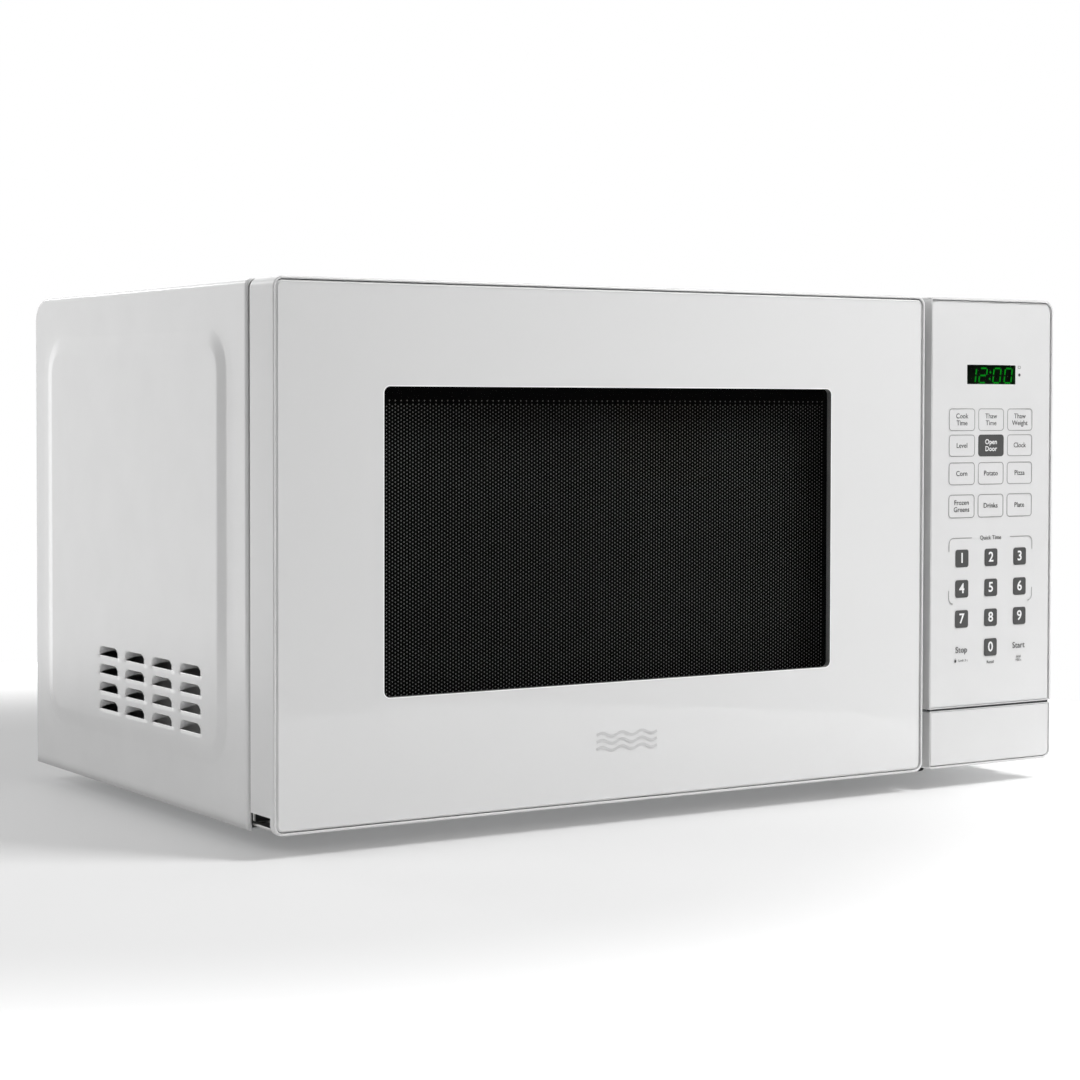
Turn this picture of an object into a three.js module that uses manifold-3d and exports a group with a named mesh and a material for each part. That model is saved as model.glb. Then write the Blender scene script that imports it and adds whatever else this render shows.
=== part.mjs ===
// Countertop microwave oven with a push-button door, as an assembly of separate pieces.
// Millimetres, +Z up, the door faces -Y, the feet stand on z = 0.
import * as THREE from 'three';
import { mergeVertices } from 'three/addons/utils/BufferGeometryUtils.js';
import Module from 'manifold-3d';

const wasm = await Module();
wasm.setup();

// ---------------------------------------------------------------- driving dimensions
const GAP = 0.3;                       // clearance between pieces that touch
const SHEET = 0.8;                     // sheet steel thickness
const PAST = 1;                        // how far a cutting tool runs past what it cuts
const LAP = 0.2;                       // how far joined bodies are sunk into each other
const OVEN = { width: 470, depth: 302, height: 260 };
const LEFT = -OVEN.width / 2;
const RIGHT = OVEN.width / 2;
const FRONT = -OVEN.depth / 2;
const BACK = OVEN.depth / 2;

const FOOT = { height: 10, radius: 10, taper: 1.5, insetX: 44, front: FRONT + 66, rear: FRONT + 256 };
const WRAP = { inset: 1.5, bend: 3, rearBend: 12, bottom: FOOT.height, front: FRONT + 27, back: FRONT + 288 };
const PLATEAU = { front: FRONT + 50, back: FRONT + 270, bottom: 35, top: 238, rise: 1.5, slope: 8 };
const LOUVRE = {
  columns: 4, rows: 4, width: 23.4, height: 4.8, pitchY: 32.7, pitchZ: 9, y: FRONT + 88.3, z: 50.8,
};
const INNER = { x: [LEFT + WRAP.inset + SHEET + 0.5, RIGHT - WRAP.inset - SHEET - 0.5] };
const BASE = { bottom: 10.5, flange: 12, front: WRAP.front + 0.5, back: WRAP.back - 2.8, cornerGap: 1.5 };
const BASE_SLOT = { count: 7, pitch: 6, width: 3, length: 56, x: RIGHT - 112, y: 56 };
const REAR = { y: WRAP.back - 2.5, bottom: 12, top: OVEN.height - WRAP.rearBend - 0.6, flange: 8, open: 5 };
const FAN_VENT = { count: 9, pitch: 8, width: 3.5, length: 70, z: 146 };
const STEAM_VENT = { count: 5, pitch: 7, width: 3, length: 90, x: LEFT + 110, z: 212 };
const CORD = { x: RIGHT - 60, z: 60, bore: 8.5, barrel: 8, collar: 11, inside: 5, outside: 6, collarEnd: 4 };
const SCREW = { x: [LEFT + 20, 0, RIGHT - 20], drop: 8, radius: 3.6, crown: 2.6, height: 3.2 };
const SPACER = { size: 34, z: 118, wall: 3, insetX: 70, corner: 5, hollowCorner: 3 };
const PLATE = { y: FRONT + 25.5, thickness: 1, bottom: 11.5, top: 257, mouthCorner: 4 };
const PLATE_BACK = PLATE.y + PLATE.thickness;
const BOARD_WINDOW = { insetX: 14, z: [70, 240] };
const CAVITY = { x: [LEFT + 33, LEFT + 339], y: [PLATE_BACK + GAP, 126], z: [33, 233] };
const STEAM_HOLE = { count: 4, pitch: 6, width: 2.6, length: 70, z: 205 };
const LAMP_HOLE = { count: 3, pitch: 8, width: 3, inset: 8 };

const DOOR = { right: LEFT + 378.5, bottom: 11, top: 260, back: FRONT + 23.7, wall: 2.5, corner: 5, heel: 0.6 };
const GLASS = { inset: 1.2, thickness: 3.2, recess: 3.6, shelf: 2.4 };
const DOOR_PANEL = { x: [LEFT + 14, LEFT + 361], z: [20, 246], y: FRONT + 16.5, thickness: 1, chokeGap: 3 };
const WINDOW = {
  x: [LEFT + 52, LEFT + 320], z: [66, 215], frameGap: 14, corner: 6, sheetLap: 8, sheet: 1.2, sheetCorner: 4,
};
const CHOKE = { front: DOOR.back - 1, back: PLATE.y - 0.7, lip: 2, inset: 0.7, corner: 6 };
const HINGE = {
  x: LEFT + 6.5, y: FRONT + 8.75, pin: 2.2, bore: 2.6, arm: 6.6, plate: 1.2, upperDrop: 2.6, swingRoom: 5.2,
};
const HINGE_TAB = { x: [LEFT + 5, LEFT + 22], thickness: 1.2, lower: 46, upper: 226 };
const HINGE_PIN = { lower: 30, upper: 245, boreExtra: 2 };
const NOTCH = { lower: 8, upper: 3, side: 1, cover: 8.4 };
const BOSS = { x: [LEFT + 1, LEFT + 13], lowerTop: 36, upperBottom: 240, reach: 5 };
const LATCH = { x: [LEFT + 366, LEFT + 372], hooks: [58, 190], arm: 8, tip: FRONT + 50, barb: 4, lift: 3 };
const LATCH_BAR = { y: [FRONT + 10, FRONT + 19], overrun: 10 };
const BARB = { length: 6, nose: 2, bevel: 1 };
const HOOK_SLOT = { left: 1.5, right: 4.5, below: 0.6, above: 0.8 };
const LATCH_SPRING = { radius: 3, y: FRONT + 14.5, top: 28 };

const PANEL = { left: LEFT + 383, bottom: 42.9, top: 260, back: PLATE.y - GAP, wall: 2, corner: 5, face: 3.2 };
const PAN = { left: 4, right: 3, front: FRONT + 16, bottom: 15, wall: 1.8 };
const OVERLAY = { inset: 1.2, thickness: 0.7, recess: 1.1, bottom: PANEL.bottom + 1.2 };
const DISPLAY = { x: [LEFT + 407.7, LEFT + 442.9], z: [214.3, 225.2], lip: 1 };
const MODULE = { lap: 2, y: [FRONT + 3.6, FRONT + 10.6] };
const BOARD = { y: FRONT + 11, thickness: 1.6, inset: 5, z: [56, 250] };
const RELAY = { x: 18, width: 16, depth: 18, height: 20, z: [84, 112] };
const SOUNDER = { x: RIGHT - 24, z: 150, radius: 6, depth: 7 };
const BUTTON = { z: [11.6, 42.3], depth: 10, face: 2, wall: 1.8, corner: 2.5, stemX: LEFT + 426, stemZ: 27 };
const STEM = { radius: 3.6, gap: 0.5, stop: 8.8, tip: 1.5, tipStop: 2.8 };
const SPRING = { radius: 5.6, wire: 0.6, turns: 5 };
const LEVER = { y: FRONT + 37, z: 40, shaft: 2.5, arm: 10, drop: 18, half: 2, width: 8, hookInset: 3.2 };
const LIFTER = { low: 5, high: 6, top: 9.1, tip: 2, step: 1 };
const HOUSING = { lap: 12, z: [32, 214], thickness: 2, wallGap: 5, wallDepth: 38, footTop: 50 };
const LUG = { x: 10, width: 2, reach: 5, top: 48 };
const LEDGE = { left: 0.4, right: 2.6, gap: 0.4, height: 3, stop: 7 };
const SWITCH = { left: 6, right: 4.6, gap: 1.8, depth: 16, height: 26, primary: 190, secondary: 66, monitor: 96 };
const PLUNGER = { width: 3, height: 2.4, reach: 1.4, drop: 4 };
const TERMINAL = { width: 0.8, height: 4, length: 6, spread: 8 };

const TURN = { x: (CAVITY.x[0] + CAVITY.x[1]) / 2, y: (CAVITY.y[0] + CAVITY.y[1]) / 2 };
const TRAY = { radius: 117, bottom: 47.6, thickness: 4, rim: 10, lip: 3, rimTop: 5, slope: 12, slopeInside: 14 };
const TRAY_BOSS = { radius: 2.4, at: 9.5, length: 6, turn: 60 };
const RING = { inner: 78, outer: 84, z: [38.2, 42.4], axle: 1.6, axleEnd: 98, cap: 3, capLength: 2 };
const ROLLER = { radius: 7, inner: 88, outer: 94, bore: 2 };
const COUPLER = { lobe: 11, stem: 6.4, width: 6, trayGap: 0.4, floorGap: 1, hole: 1.2 };
const MOTOR = { radius: 25, z: [13, 30], shaft: 3, shaftLength: 9, ears: 68, earWidth: 12, ear: 2 };

const CAVITY_SIDE = CAVITY.x[1] + SHEET + GAP;
const GUIDE = { x: [CAVITY_SIDE, CAVITY.x[1] + 24], y: [-20, 80], z: [150, 228], port: [72, 34], wall: 1 };
const GUIDE_COVER = { lapY: 20, lapZ: 24 };
const MAGNETRON = {
  y: 30, z: 189, core: 19, yoke: [78, 74], length: 56, end: 2.4, wall: 1.6, mouth: 11, throat: 12,
};
const ANTENNA = { radius: 8, tip: 6, reach: 4, root: 6 };
const FIN = { count: 6, pitch: 7, first: 8, thickness: 1, insetY: 8, insetZ: 10 };
const FILTER_BOX = { length: 26, width: 48, height: 46, plug: 14, plugHeight: 8, plugShift: 26 };
const TRANSFORMER = { x: [LEFT + 365, LEFT + 440], y: [-72, 18], z: [12, 70], cheek: 10, windowHeight: 13, end: 14 };
const WINDING = { primary: [-56, -30], secondary: [-26, 2], overhang: 10, corner: 2 };
const CAPACITOR = { x: [LEFT + 372, LEFT + 424], y: [52, 84], z: [16, 84], corner: 12 };
const TAB = { spread: 10, width: 6, thickness: 1, length: 8 };
const STRAP = { z: [30, 44], thickness: 1, legGap: 0.6, leg: 1.2, width: 18, toe: 12 };
const FILTER = { x: [RIGHT - 56, RIGHT - 10], y: [96, 126], z: 96, thickness: 1.6 };
const CHOKE_COIL = { radius: 9, x: 14, y: 110, height: 16 };
const FUSE = { x: [16, 8], y: [100, 124], height: 9 };
const CUTOUT = { y: -95, z: 120, radius: 8, depth: 6, ears: [26, 9], ear: 1 };
const LAMP = { y: -50, z: CAVITY.z[1] - 33, hood: 34, length: 30, wall: 2, rise: 4, socket: 7.6 };
const BULB = { radius: 9, x: 13, cap: 7, capX: [20, 36] };
const FAN = { x: LEFT + 400, z: 178, radius: 42, plate: 104, y: [92, 112], motor: 42, face: 2, duct: 5, bore: 3 };
const FAN_LEG = { inset: 5, width: 8, height: 12 };
const STACK = { gap: 2, window: 26, windowHeight: 8, windowDrop: 13 };
const BOBBIN = { width: 22, inset: 2, below: 8, top: 10, corner: 2 };
const BLADE = {
  count: 4, hub: 9, root: 7, thickness: 1.4, chord: 20, pitch: Math.PI / 5, shaft: 1.6, bore: 1.9,
};
const BLADE_Y = [FAN.y[0] + 3, FAN.y[1] - 4];

// ---------------------------------------------------------------- materials
function finish(color, roughness, metalness) {
  return new THREE.MeshStandardMaterial({ color, roughness, metalness });
}

const MATERIAL = {
  paintedSteel: finish(0xe6e7e8, 0.45, 0.1),
  galvanised: finish(0xa9adb0, 0.4, 0.8),
  enamel: finish(0xc9cbcb, 0.4, 0.2),
  whitePlastic: finish(0xf0f0f0, 0.35, 0),
  keypad: finish(0xf2f2f2, 0.4, 0),
  glass: finish(0xd9e2e4, 0.05, 0),
  printedGlass: finish(0xf1f2f2, 0.08, 0),
  smoked: finish(0x0d0f10, 0.1, 0),
  blackPaint: finish(0x151617, 0.5, 0.1),
  darkPlastic: finish(0x2b2c2e, 0.5, 0),
  greyPlastic: finish(0xc4c6c7, 0.5, 0),
  rubber: finish(0x3a3b3c, 0.8, 0),
  springSteel: finish(0x8e9194, 0.35, 0.9),
  copper: finish(0xb06a3a, 0.4, 0.7),
  circuitBoard: finish(0x3d6b3a, 0.6, 0),
  mica: finish(0xb9a98a, 0.7, 0),
  nylon: finish(0xe9e6dc, 0.5, 0),
};

// ---------------------------------------------------------------- solid helpers
const span = (centre, size) => [centre - size / 2, centre + size / 2];
const grow = ([low, high], by) => [low - by, high + by];
const run = (start, length) => [start, start + length];
const mid = ([low, high]) => (low + high) / 2;

function solid(geometry) {
  const bare = geometry.clone();
  bare.deleteAttribute('normal');
  bare.deleteAttribute('uv');
  const merged = mergeVertices(bare, 1e-4);
  const index = merged.index.array;
  const kept = [];
  for (let i = 0; i < index.length; i += 3) {
    const [a, b, c] = [index[i], index[i + 1], index[i + 2]];
    if (a !== b && b !== c && c !== a) kept.push(a, b, c);
  }
  return new wasm.Manifold(new wasm.Mesh({
    numProp: 3,
    vertProperties: new Float32Array(merged.attributes.position.array),
    triVerts: new Uint32Array(kept),
  }));
}

const join = (...bodies) => bodies.flat().reduce((whole, body) => whole.add(body));
const cut = (base, ...tools) => tools.flat().reduce((whole, tool) => whole.subtract(tool), base);

function box(x, y, z) {
  const geometry = new THREE.BoxGeometry(x[1] - x[0], y[1] - y[0], z[1] - z[0]);
  geometry.translate(mid(x), mid(y), mid(z));
  return solid(geometry);
}

// Turns a geometry built along +Z so that it runs along the named axis.
function alongAxis(geometry, axis) {
  const [x, y, z] = [new THREE.Vector3(1, 0, 0), new THREE.Vector3(0, 1, 0), new THREE.Vector3(0, 0, 1)];
  const basis = new THREE.Matrix4();
  if (axis === 'x') basis.makeBasis(y, z, x);
  if (axis === 'y') basis.makeBasis(z, x, y);
  return geometry.applyMatrix4(basis);
}

// A round bar from one place to another on its axis; across holds its other two coordinates.
function rod(axis, radius, along, across, sides = 20, endRadius = radius) {
  const geometry = new THREE.CylinderGeometry(endRadius, radius, along[1] - along[0], sides);
  geometry.rotateX(Math.PI / 2);
  alongAxis(geometry, axis);
  const middle = mid(along);
  if (axis === 'x') geometry.translate(middle, across[0], across[1]);
  if (axis === 'y') geometry.translate(across[0], middle, across[1]);
  if (axis === 'z') geometry.translate(across[0], across[1], middle);
  return solid(geometry);
}

function roundedShape(a, b, radius) {
  const shape = new THREE.Shape();
  shape.moveTo(a[0] + radius, b[0]);
  shape.lineTo(a[1] - radius, b[0]);
  shape.absarc(a[1] - radius, b[0] + radius, radius, -Math.PI / 2, 0);
  shape.lineTo(a[1], b[1] - radius);
  shape.absarc(a[1] - radius, b[1] - radius, radius, 0, Math.PI / 2);
  shape.lineTo(a[0] + radius, b[1]);
  shape.absarc(a[0] + radius, b[1] - radius, radius, Math.PI / 2, Math.PI);
  shape.lineTo(a[0], b[0] + radius);
  shape.absarc(a[0] + radius, b[0] + radius, radius, Math.PI, Math.PI * 1.5);
  return shape;
}

function extrude(shape, along, curveSegments = 4) {
  const options = { depth: along[1] - along[0], bevelEnabled: false, curveSegments };
  const geometry = new THREE.ExtrudeGeometry(shape, options);
  geometry.translate(0, 0, along[0]);
  return geometry;
}

// A slab whose corners, seen from the front, are rounded.
function frontSlab(x, y, z, radius) {
  const geometry = extrude(roundedShape(x, z, radius), [-y[1], -y[0]]);
  geometry.rotateX(Math.PI / 2);
  return solid(geometry);
}

// A slab whose corners, seen from above, are rounded.
function topSlab(x, y, z, radius) {
  return solid(extrude(roundedShape(x, y, radius), z));
}

// An outline in (y, z) carried along X.
function sideProfile(points, x) {
  const shape = new THREE.Shape(points.map(([y, z]) => new THREE.Vector2(y, z)));
  return solid(alongAxis(extrude(shape, x), 'x'));
}

// A hollow tray open towards one side: the block less a smaller block.
function ringOf(x, y, z, wall) {
  return cut(box(x, y, z), box(grow(x, -wall), grow(y, PAST), grow(z, -wall)));
}

function lathe(profile, centre, sides = 48) {
  const points = profile.map(([radius, height]) => new THREE.Vector2(radius, height));
  const geometry = new THREE.LatheGeometry(points, sides);
  geometry.rotateX(Math.PI / 2);
  geometry.translate(centre[0], centre[1], 0);
  return solid(geometry);
}

class Helix extends THREE.Curve {
  constructor(radius, turns, start, end, place) {
    super();
    Object.assign(this, { radius, turns, start, end, place });
  }

  getPoint(t, target = new THREE.Vector3()) {
    const angle = t * this.turns * 2 * Math.PI;
    const offset = [this.radius * Math.cos(angle), this.radius * Math.sin(angle)];
    return this.place(offset, this.start + t * (this.end - this.start), target);
  }
}

function coil(radius, wire, turns, start, end, place) {
  const section = new THREE.Shape();
  section.absarc(0, 0, wire, 0, 2 * Math.PI);
  const path = new Helix(radius, turns, start, end, place);
  const options = { steps: turns * 12, extrudePath: path, curveSegments: 3, bevelEnabled: false };
  return solid(new THREE.ExtrudeGeometry(section, options));
}

const oven = new THREE.Group();

function piece(name, body, material) {
  const { vertProperties, triVerts } = body.getMesh();
  const geometry = new THREE.BufferGeometry();
  geometry.setAttribute('position', new THREE.BufferAttribute(vertProperties, 3));
  geometry.setIndex(new THREE.BufferAttribute(triVerts, 1));
  geometry.computeVertexNormals();
  const mesh = new THREE.Mesh(geometry, material);
  mesh.name = name;
  oven.add(mesh);
}

// ---------------------------------------------------------------- cabinet
// A block whose outer face is smaller than its foot: the pressed panel on each side of the wrap.
function pressing(side, face, rise) {
  const foot = extrude(new THREE.Shape([
    new THREE.Vector2(PLATEAU.front, PLATEAU.bottom),
    new THREE.Vector2(PLATEAU.back, PLATEAU.bottom),
    new THREE.Vector2(PLATEAU.back, PLATEAU.top),
    new THREE.Vector2(PLATEAU.front, PLATEAU.top),
  ]), [0, rise]);
  const centre = [(PLATEAU.front + PLATEAU.back) / 2, (PLATEAU.bottom + PLATEAU.top) / 2];
  const half = [(PLATEAU.back - PLATEAU.front) / 2, (PLATEAU.top - PLATEAU.bottom) / 2];
  const position = foot.attributes.position;
  for (let i = 0; i < position.count; i += 1) {
    const taper = position.getZ(i) > rise / 2 ? PLATEAU.slope : 0;
    const y = centre[0] + (position.getX(i) - centre[0]) * (1 - taper / half[0]);
    const z = centre[1] + (position.getY(i) - centre[1]) * (1 - taper / half[1]);
    position.setXYZ(i, y, z, position.getZ(i));
  }
  const body = solid(alongAxis(foot, 'x')).translate([face, 0, 0]);
  return side > 0 ? body : body.mirror([1, 0, 0]);
}

// The folded sheet's outline seen from the front.
function wrapOutline(offset, y) {
  const x = [LEFT + WRAP.inset + offset, RIGHT - WRAP.inset - offset];
  const top = OVEN.height - offset;
  const radius = WRAP.bend - offset;
  const shape = new THREE.Shape();
  shape.moveTo(x[0], WRAP.bottom - offset);
  shape.lineTo(x[1], WRAP.bottom - offset);
  shape.lineTo(x[1], top - radius);
  shape.absarc(x[1] - radius, top - radius, radius, 0, Math.PI / 2);
  shape.lineTo(x[0] + radius, top);
  shape.absarc(x[0] + radius, top - radius, radius, Math.PI / 2, Math.PI);
  const geometry = extrude(shape, [-y[1], -y[0]]);
  geometry.rotateX(Math.PI / 2);
  return solid(geometry);
}

// The same sheet seen from the side, where the rear top edge is rounded.
function wrapSide(offset, y) {
  const top = OVEN.height - offset;
  const radius = WRAP.rearBend - offset;
  const centre = [WRAP.back - WRAP.rearBend, OVEN.height - WRAP.rearBend];
  const shape = new THREE.Shape();
  shape.moveTo(y[0], WRAP.bottom - offset);
  shape.lineTo(centre[0] + radius, WRAP.bottom - offset);
  shape.lineTo(centre[0] + radius, centre[1]);
  shape.absarc(centre[0], centre[1], radius, 0, Math.PI / 2);
  shape.lineTo(y[0], top);
  return solid(alongAxis(extrude(shape, [LEFT, RIGHT], 6), 'x'));
}

function wrapShell(offset, y) {
  return wrapOutline(offset, y).intersect(wrapSide(offset, y));
}

function outerWrap() {
  const face = RIGHT - WRAP.inset;
  const outer = [1, -1].map((side) => pressing(side, face - LAP, PLATEAU.rise + LAP));
  const inner = [1, -1].map((side) => pressing(side, face - SHEET - LAP, PLATEAU.rise + LAP));
  const shell = join(wrapShell(0, [WRAP.front, WRAP.back]), outer);
  const louvres = [];
  for (let column = 0; column < LOUVRE.columns; column += 1) {
    for (let row = 0; row < LOUVRE.rows; row += 1) {
      const y = span(LOUVRE.y + column * LOUVRE.pitchY, LOUVRE.width);
      const z = span(LOUVRE.z + row * LOUVRE.pitchZ, LOUVRE.height);
      louvres.push(box(grow([LEFT, LEFT + WRAP.inset + SHEET], PAST), y, z));
    }
  }
  const backOpening = box(
    grow([LEFT + WRAP.inset, RIGHT - WRAP.inset], -SHEET),
    grow([WRAP.back, WRAP.back], 2 * PAST),
    [WRAP.bottom - PAST, OVEN.height - WRAP.rearBend],
  );
  return cut(shell, wrapShell(SHEET, [WRAP.front - PAST, WRAP.back]), backOpening, inner, louvres);
}

// Evenly spaced places, from the first on.
const steps = (first, { count, pitch }) => Array.from({ length: count }, (_, index) => first + index * pitch);

function basePlate() {
  const { x } = INNER;
  const floor = box(x, [BASE.front, BASE.back], run(BASE.bottom, SHEET));
  const flangeY = [BASE.front + BASE.cornerGap, REAR.y - REAR.flange - GAP];
  const flanges = [run(x[0], SHEET), [x[1] - SHEET, x[1]]]
    .map((edge) => box(edge, flangeY, run(BASE.bottom, BASE.flange)));
  const through = grow(run(BASE.bottom, SHEET), PAST);
  const slots = steps(BASE_SLOT.y, BASE_SLOT)
    .map((y) => box(span(BASE_SLOT.x, BASE_SLOT.length), span(y, BASE_SLOT.width), through));
  return cut(join(floor, flanges), slots);
}

function rearPanel() {
  const { x } = INNER;
  const z = [REAR.bottom, REAR.top];
  const face = box(x, run(REAR.y, SHEET), z);
  const rimY = [REAR.y - REAR.flange, REAR.y];
  const rim = ringOf(x, [rimY[0], rimY[1] + SHEET / 2], z, SHEET);
  const bottomOpen = box(grow(x, -REAR.open), [rimY[0] - PAST, rimY[1]], span(REAR.bottom, 2 * REAR.open));
  const through = grow(run(REAR.y, SHEET), PAST);
  const fanVents = steps(FAN_VENT.z, FAN_VENT)
    .map((height) => box(span(FAN.x, FAN_VENT.length), through, span(height, FAN_VENT.width)));
  const steamVents = steps(STEAM_VENT.z, STEAM_VENT)
    .map((height) => box(span(STEAM_VENT.x, STEAM_VENT.length), through, span(height, STEAM_VENT.width)));
  return cut(join(face, rim), bottomOpen, fanVents, steamVents, rod('y', CORD.bore, through, [CORD.x, CORD.z]));
}

function frontPlate() {
  const through = grow(run(PLATE.y, PLATE.thickness), PAST);
  const face = box(INNER.x, run(PLATE.y, PLATE.thickness), [PLATE.bottom, PLATE.top]);
  const mouth = frontSlab(CAVITY.x, through, CAVITY.z, PLATE.mouthCorner);
  const slots = LATCH.hooks.map((z) => box(hookSlotX(), through, hookSlotZ(z)));
  const boardWindow = box(grow([PANEL.left, RIGHT], -BOARD_WINDOW.insetX), through, BOARD_WINDOW.z);
  const stem = rod('y', STEM.radius + 5 * GAP, through, [BUTTON.stemX, BUTTON.stemZ]);
  const hingeX = span(HINGE.x, HINGE.arm + 2 * PAST);
  const hingeSlots = [span(PLATE.bottom, 6), span(PLATE.top, 1.2)];
  return cut(face, mouth, slots, boardWindow, stem, hingeSlots.map((z) => box(hingeX, through, z)));
}

function hookSlotX() {
  return [LATCH.x[0] - HOOK_SLOT.left, LATCH.x[1] + HOOK_SLOT.right];
}

function hookSlotZ(z) {
  const half = LATCH.arm / 2;
  return [z - half - LATCH.barb - HOOK_SLOT.below, z + half + LATCH.lift + HOOK_SLOT.above];
}

function cavityShell() {
  const y = [CAVITY.y[0], CAVITY.y[1] + SHEET];
  const outer = box(grow(CAVITY.x, SHEET), y, grow(CAVITY.z, SHEET));
  const hollow = box(CAVITY.x, [CAVITY.y[0] - PAST, CAVITY.y[1]], CAVITY.z);
  const shaftHole = rod('z', COUPLER.stem + COUPLER.hole, span(CAVITY.z[0], 4 * PAST), [TURN.x, TURN.y]);
  const wall = grow([CAVITY.x[1], CAVITY.x[1] + SHEET], PAST);
  const port = box(wall, span(mid(GUIDE.y), GUIDE.port[0]), span(mid(GUIDE.z), GUIDE.port[1]));
  const lampHoles = steps(LAMP.z - LAMP_HOLE.pitch, LAMP_HOLE)
    .map((height) => box(wall, span(LAMP.y, LAMP.hood - LAMP_HOLE.inset), span(height, LAMP_HOLE.width)));
  const back = grow([CAVITY.y[1], y[1]], PAST);
  const steamHoles = steps(STEAM_HOLE.z, STEAM_HOLE)
    .map((height) => box(span(STEAM_VENT.x, STEAM_HOLE.length), back, span(height, STEAM_HOLE.width)));
  return cut(outer, hollow, shaftHole, port, lampHoles, steamHoles);
}

function foot(x, y) {
  const { height, radius, taper } = FOOT;
  return rod('z', radius - taper, [0, height + LAP], [x, y], 24, radius);
}

function rearSpacer(x) {
  const y = [REAR.y + SHEET + GAP, BACK];
  const { size, z, wall, corner, hollowCorner } = SPACER;
  const inside = size - 2 * wall;
  const hollow = frontSlab(span(x, inside), [y[0] - PAST, y[1] - wall], span(z, inside), hollowCorner);
  return cut(frontSlab(span(x, size), y, span(z, size), corner), hollow);
}

function cordBush() {
  const at = [CORD.x, CORD.z];
  const barrel = rod('y', CORD.barrel, [REAR.y - CORD.inside, REAR.y + CORD.outside], at);
  return join(barrel, rod('y', CORD.collar, [REAR.y + SHEET + GAP, REAR.y + CORD.collarEnd], at));
}

function rearScrew(x) {
  const y = [REAR.y + SHEET + GAP, REAR.y + SCREW.height];
  return rod('y', SCREW.radius, y, [x, REAR.top - SCREW.drop], 16, SCREW.crown);
}

// ---------------------------------------------------------------- microwave circuit
function waveguide() {
  const { x, y, z, port, wall } = GUIDE;
  const outer = box(x, y, z);
  const hollow = box(grow(x, -wall), grow(y, -wall), grow(z, -wall));
  const opening = box(span(x[0], 4 * wall), span(mid(y), port[0]), span(mid(z), port[1]));
  const mouth = rod('x', MAGNETRON.mouth, span(x[1], 4 * wall), [MAGNETRON.y, MAGNETRON.z]);
  return cut(outer, hollow, opening, mouth);
}

function waveguideCover() {
  const x = [CAVITY.x[1] - GAP - SHEET, CAVITY.x[1] - GAP];
  const { lapY, lapZ } = GUIDE_COVER;
  return box(x, span(mid(GUIDE.y), GUIDE.port[0] + lapY), span(mid(GUIDE.z), GUIDE.port[1] + lapZ));
}

function magnetronX() {
  return run(GUIDE.x[1] + GAP, MAGNETRON.length);
}

function magnetronCore() {
  const at = [MAGNETRON.y, MAGNETRON.z];
  const x = magnetronX();
  const inside = grow(x, -MAGNETRON.end);
  const antennaX = [GUIDE.x[0] + ANTENNA.reach, x[0] + ANTENNA.root];
  const antenna = rod('x', ANTENNA.radius, antennaX, at, 16, ANTENNA.tip);
  const finY = span(at[0], MAGNETRON.yoke[0] - FIN.insetY);
  const finZ = span(at[1], MAGNETRON.yoke[1] - FIN.insetZ);
  const fins = steps(inside[0] + FIN.first, FIN).map((place) => box(span(place, FIN.thickness), finY, finZ));
  return join(rod('x', MAGNETRON.core, inside, at), antenna, fins);
}

function magnetronYoke() {
  const [width, height] = MAGNETRON.yoke;
  const x = magnetronX();
  const y = span(MAGNETRON.y, width);
  const z = span(MAGNETRON.z, height);
  const throat = rod('x', MAGNETRON.throat, grow(run(x[0], MAGNETRON.wall), PAST), [MAGNETRON.y, MAGNETRON.z]);
  return cut(ringOf(x, y, z, MAGNETRON.wall), throat);
}

function magnetronFilterBox() {
  const { length, width, height, plug, plugHeight, plugShift } = FILTER_BOX;
  const x = run(magnetronX()[1] + GAP, length);
  const can = box(x, span(MAGNETRON.y, width), span(MAGNETRON.z, height));
  return join(can, box(span(mid(x), plug), span(MAGNETRON.y - plugShift, plug), span(MAGNETRON.z, plugHeight)));
}

// The two windows of the laminated core, one above the other, that the windings pass through.
function coreWindows() {
  const { z, cheek, windowHeight } = TRANSFORMER;
  return [run(z[0] + cheek, windowHeight), run(z[1] - cheek - windowHeight, windowHeight)];
}

function transformerCore() {
  const { x, y, z, end } = TRANSFORMER;
  const windows = coreWindows().map((range) => box(grow(x, PAST), grow(y, -end), range));
  return cut(box(x, y, z), windows);
}

function winding(y) {
  const [lower, upper] = coreWindows();
  const outerX = grow(TRANSFORMER.x, WINDING.overhang);
  const outer = topSlab(outerX, y, [lower[0] + GAP, upper[1] - GAP], WINDING.corner);
  const leg = box(grow(TRANSFORMER.x, GAP), grow(y, PAST), [lower[1] - GAP, upper[0] + GAP]);
  return cut(outer, leg);
}

function capacitor() {
  const { x, y, z, corner } = CAPACITOR;
  const can = topSlab(x, y, z, corner);
  const tabZ = [z[1] - LAP, z[1] + TAB.length];
  const tabs = [-TAB.spread, TAB.spread].map((shift) => {
    return box(span(mid(x) + shift, TAB.width), span(mid(y), TAB.thickness), tabZ);
  });
  return join(can, tabs);
}

function capacitorBracket() {
  const { z, thickness, legGap, leg, width, toe } = STRAP;
  const around = (by, height) => {
    return topSlab(grow(CAPACITOR.x, by), grow(CAPACITOR.y, by), height, CAPACITOR.corner + by);
  };
  const band = cut(around(GAP + thickness, z), around(GAP, grow(z, PAST)));
  const x = span(mid(CAPACITOR.x), width);
  const y = run(CAPACITOR.y[1] + legGap, leg);
  const floor = BASE.bottom + SHEET + GAP;
  return join(band, box(x, y, [floor, z[1]]), box(x, [y[0], y[1] + toe], run(floor, leg)));
}

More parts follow.
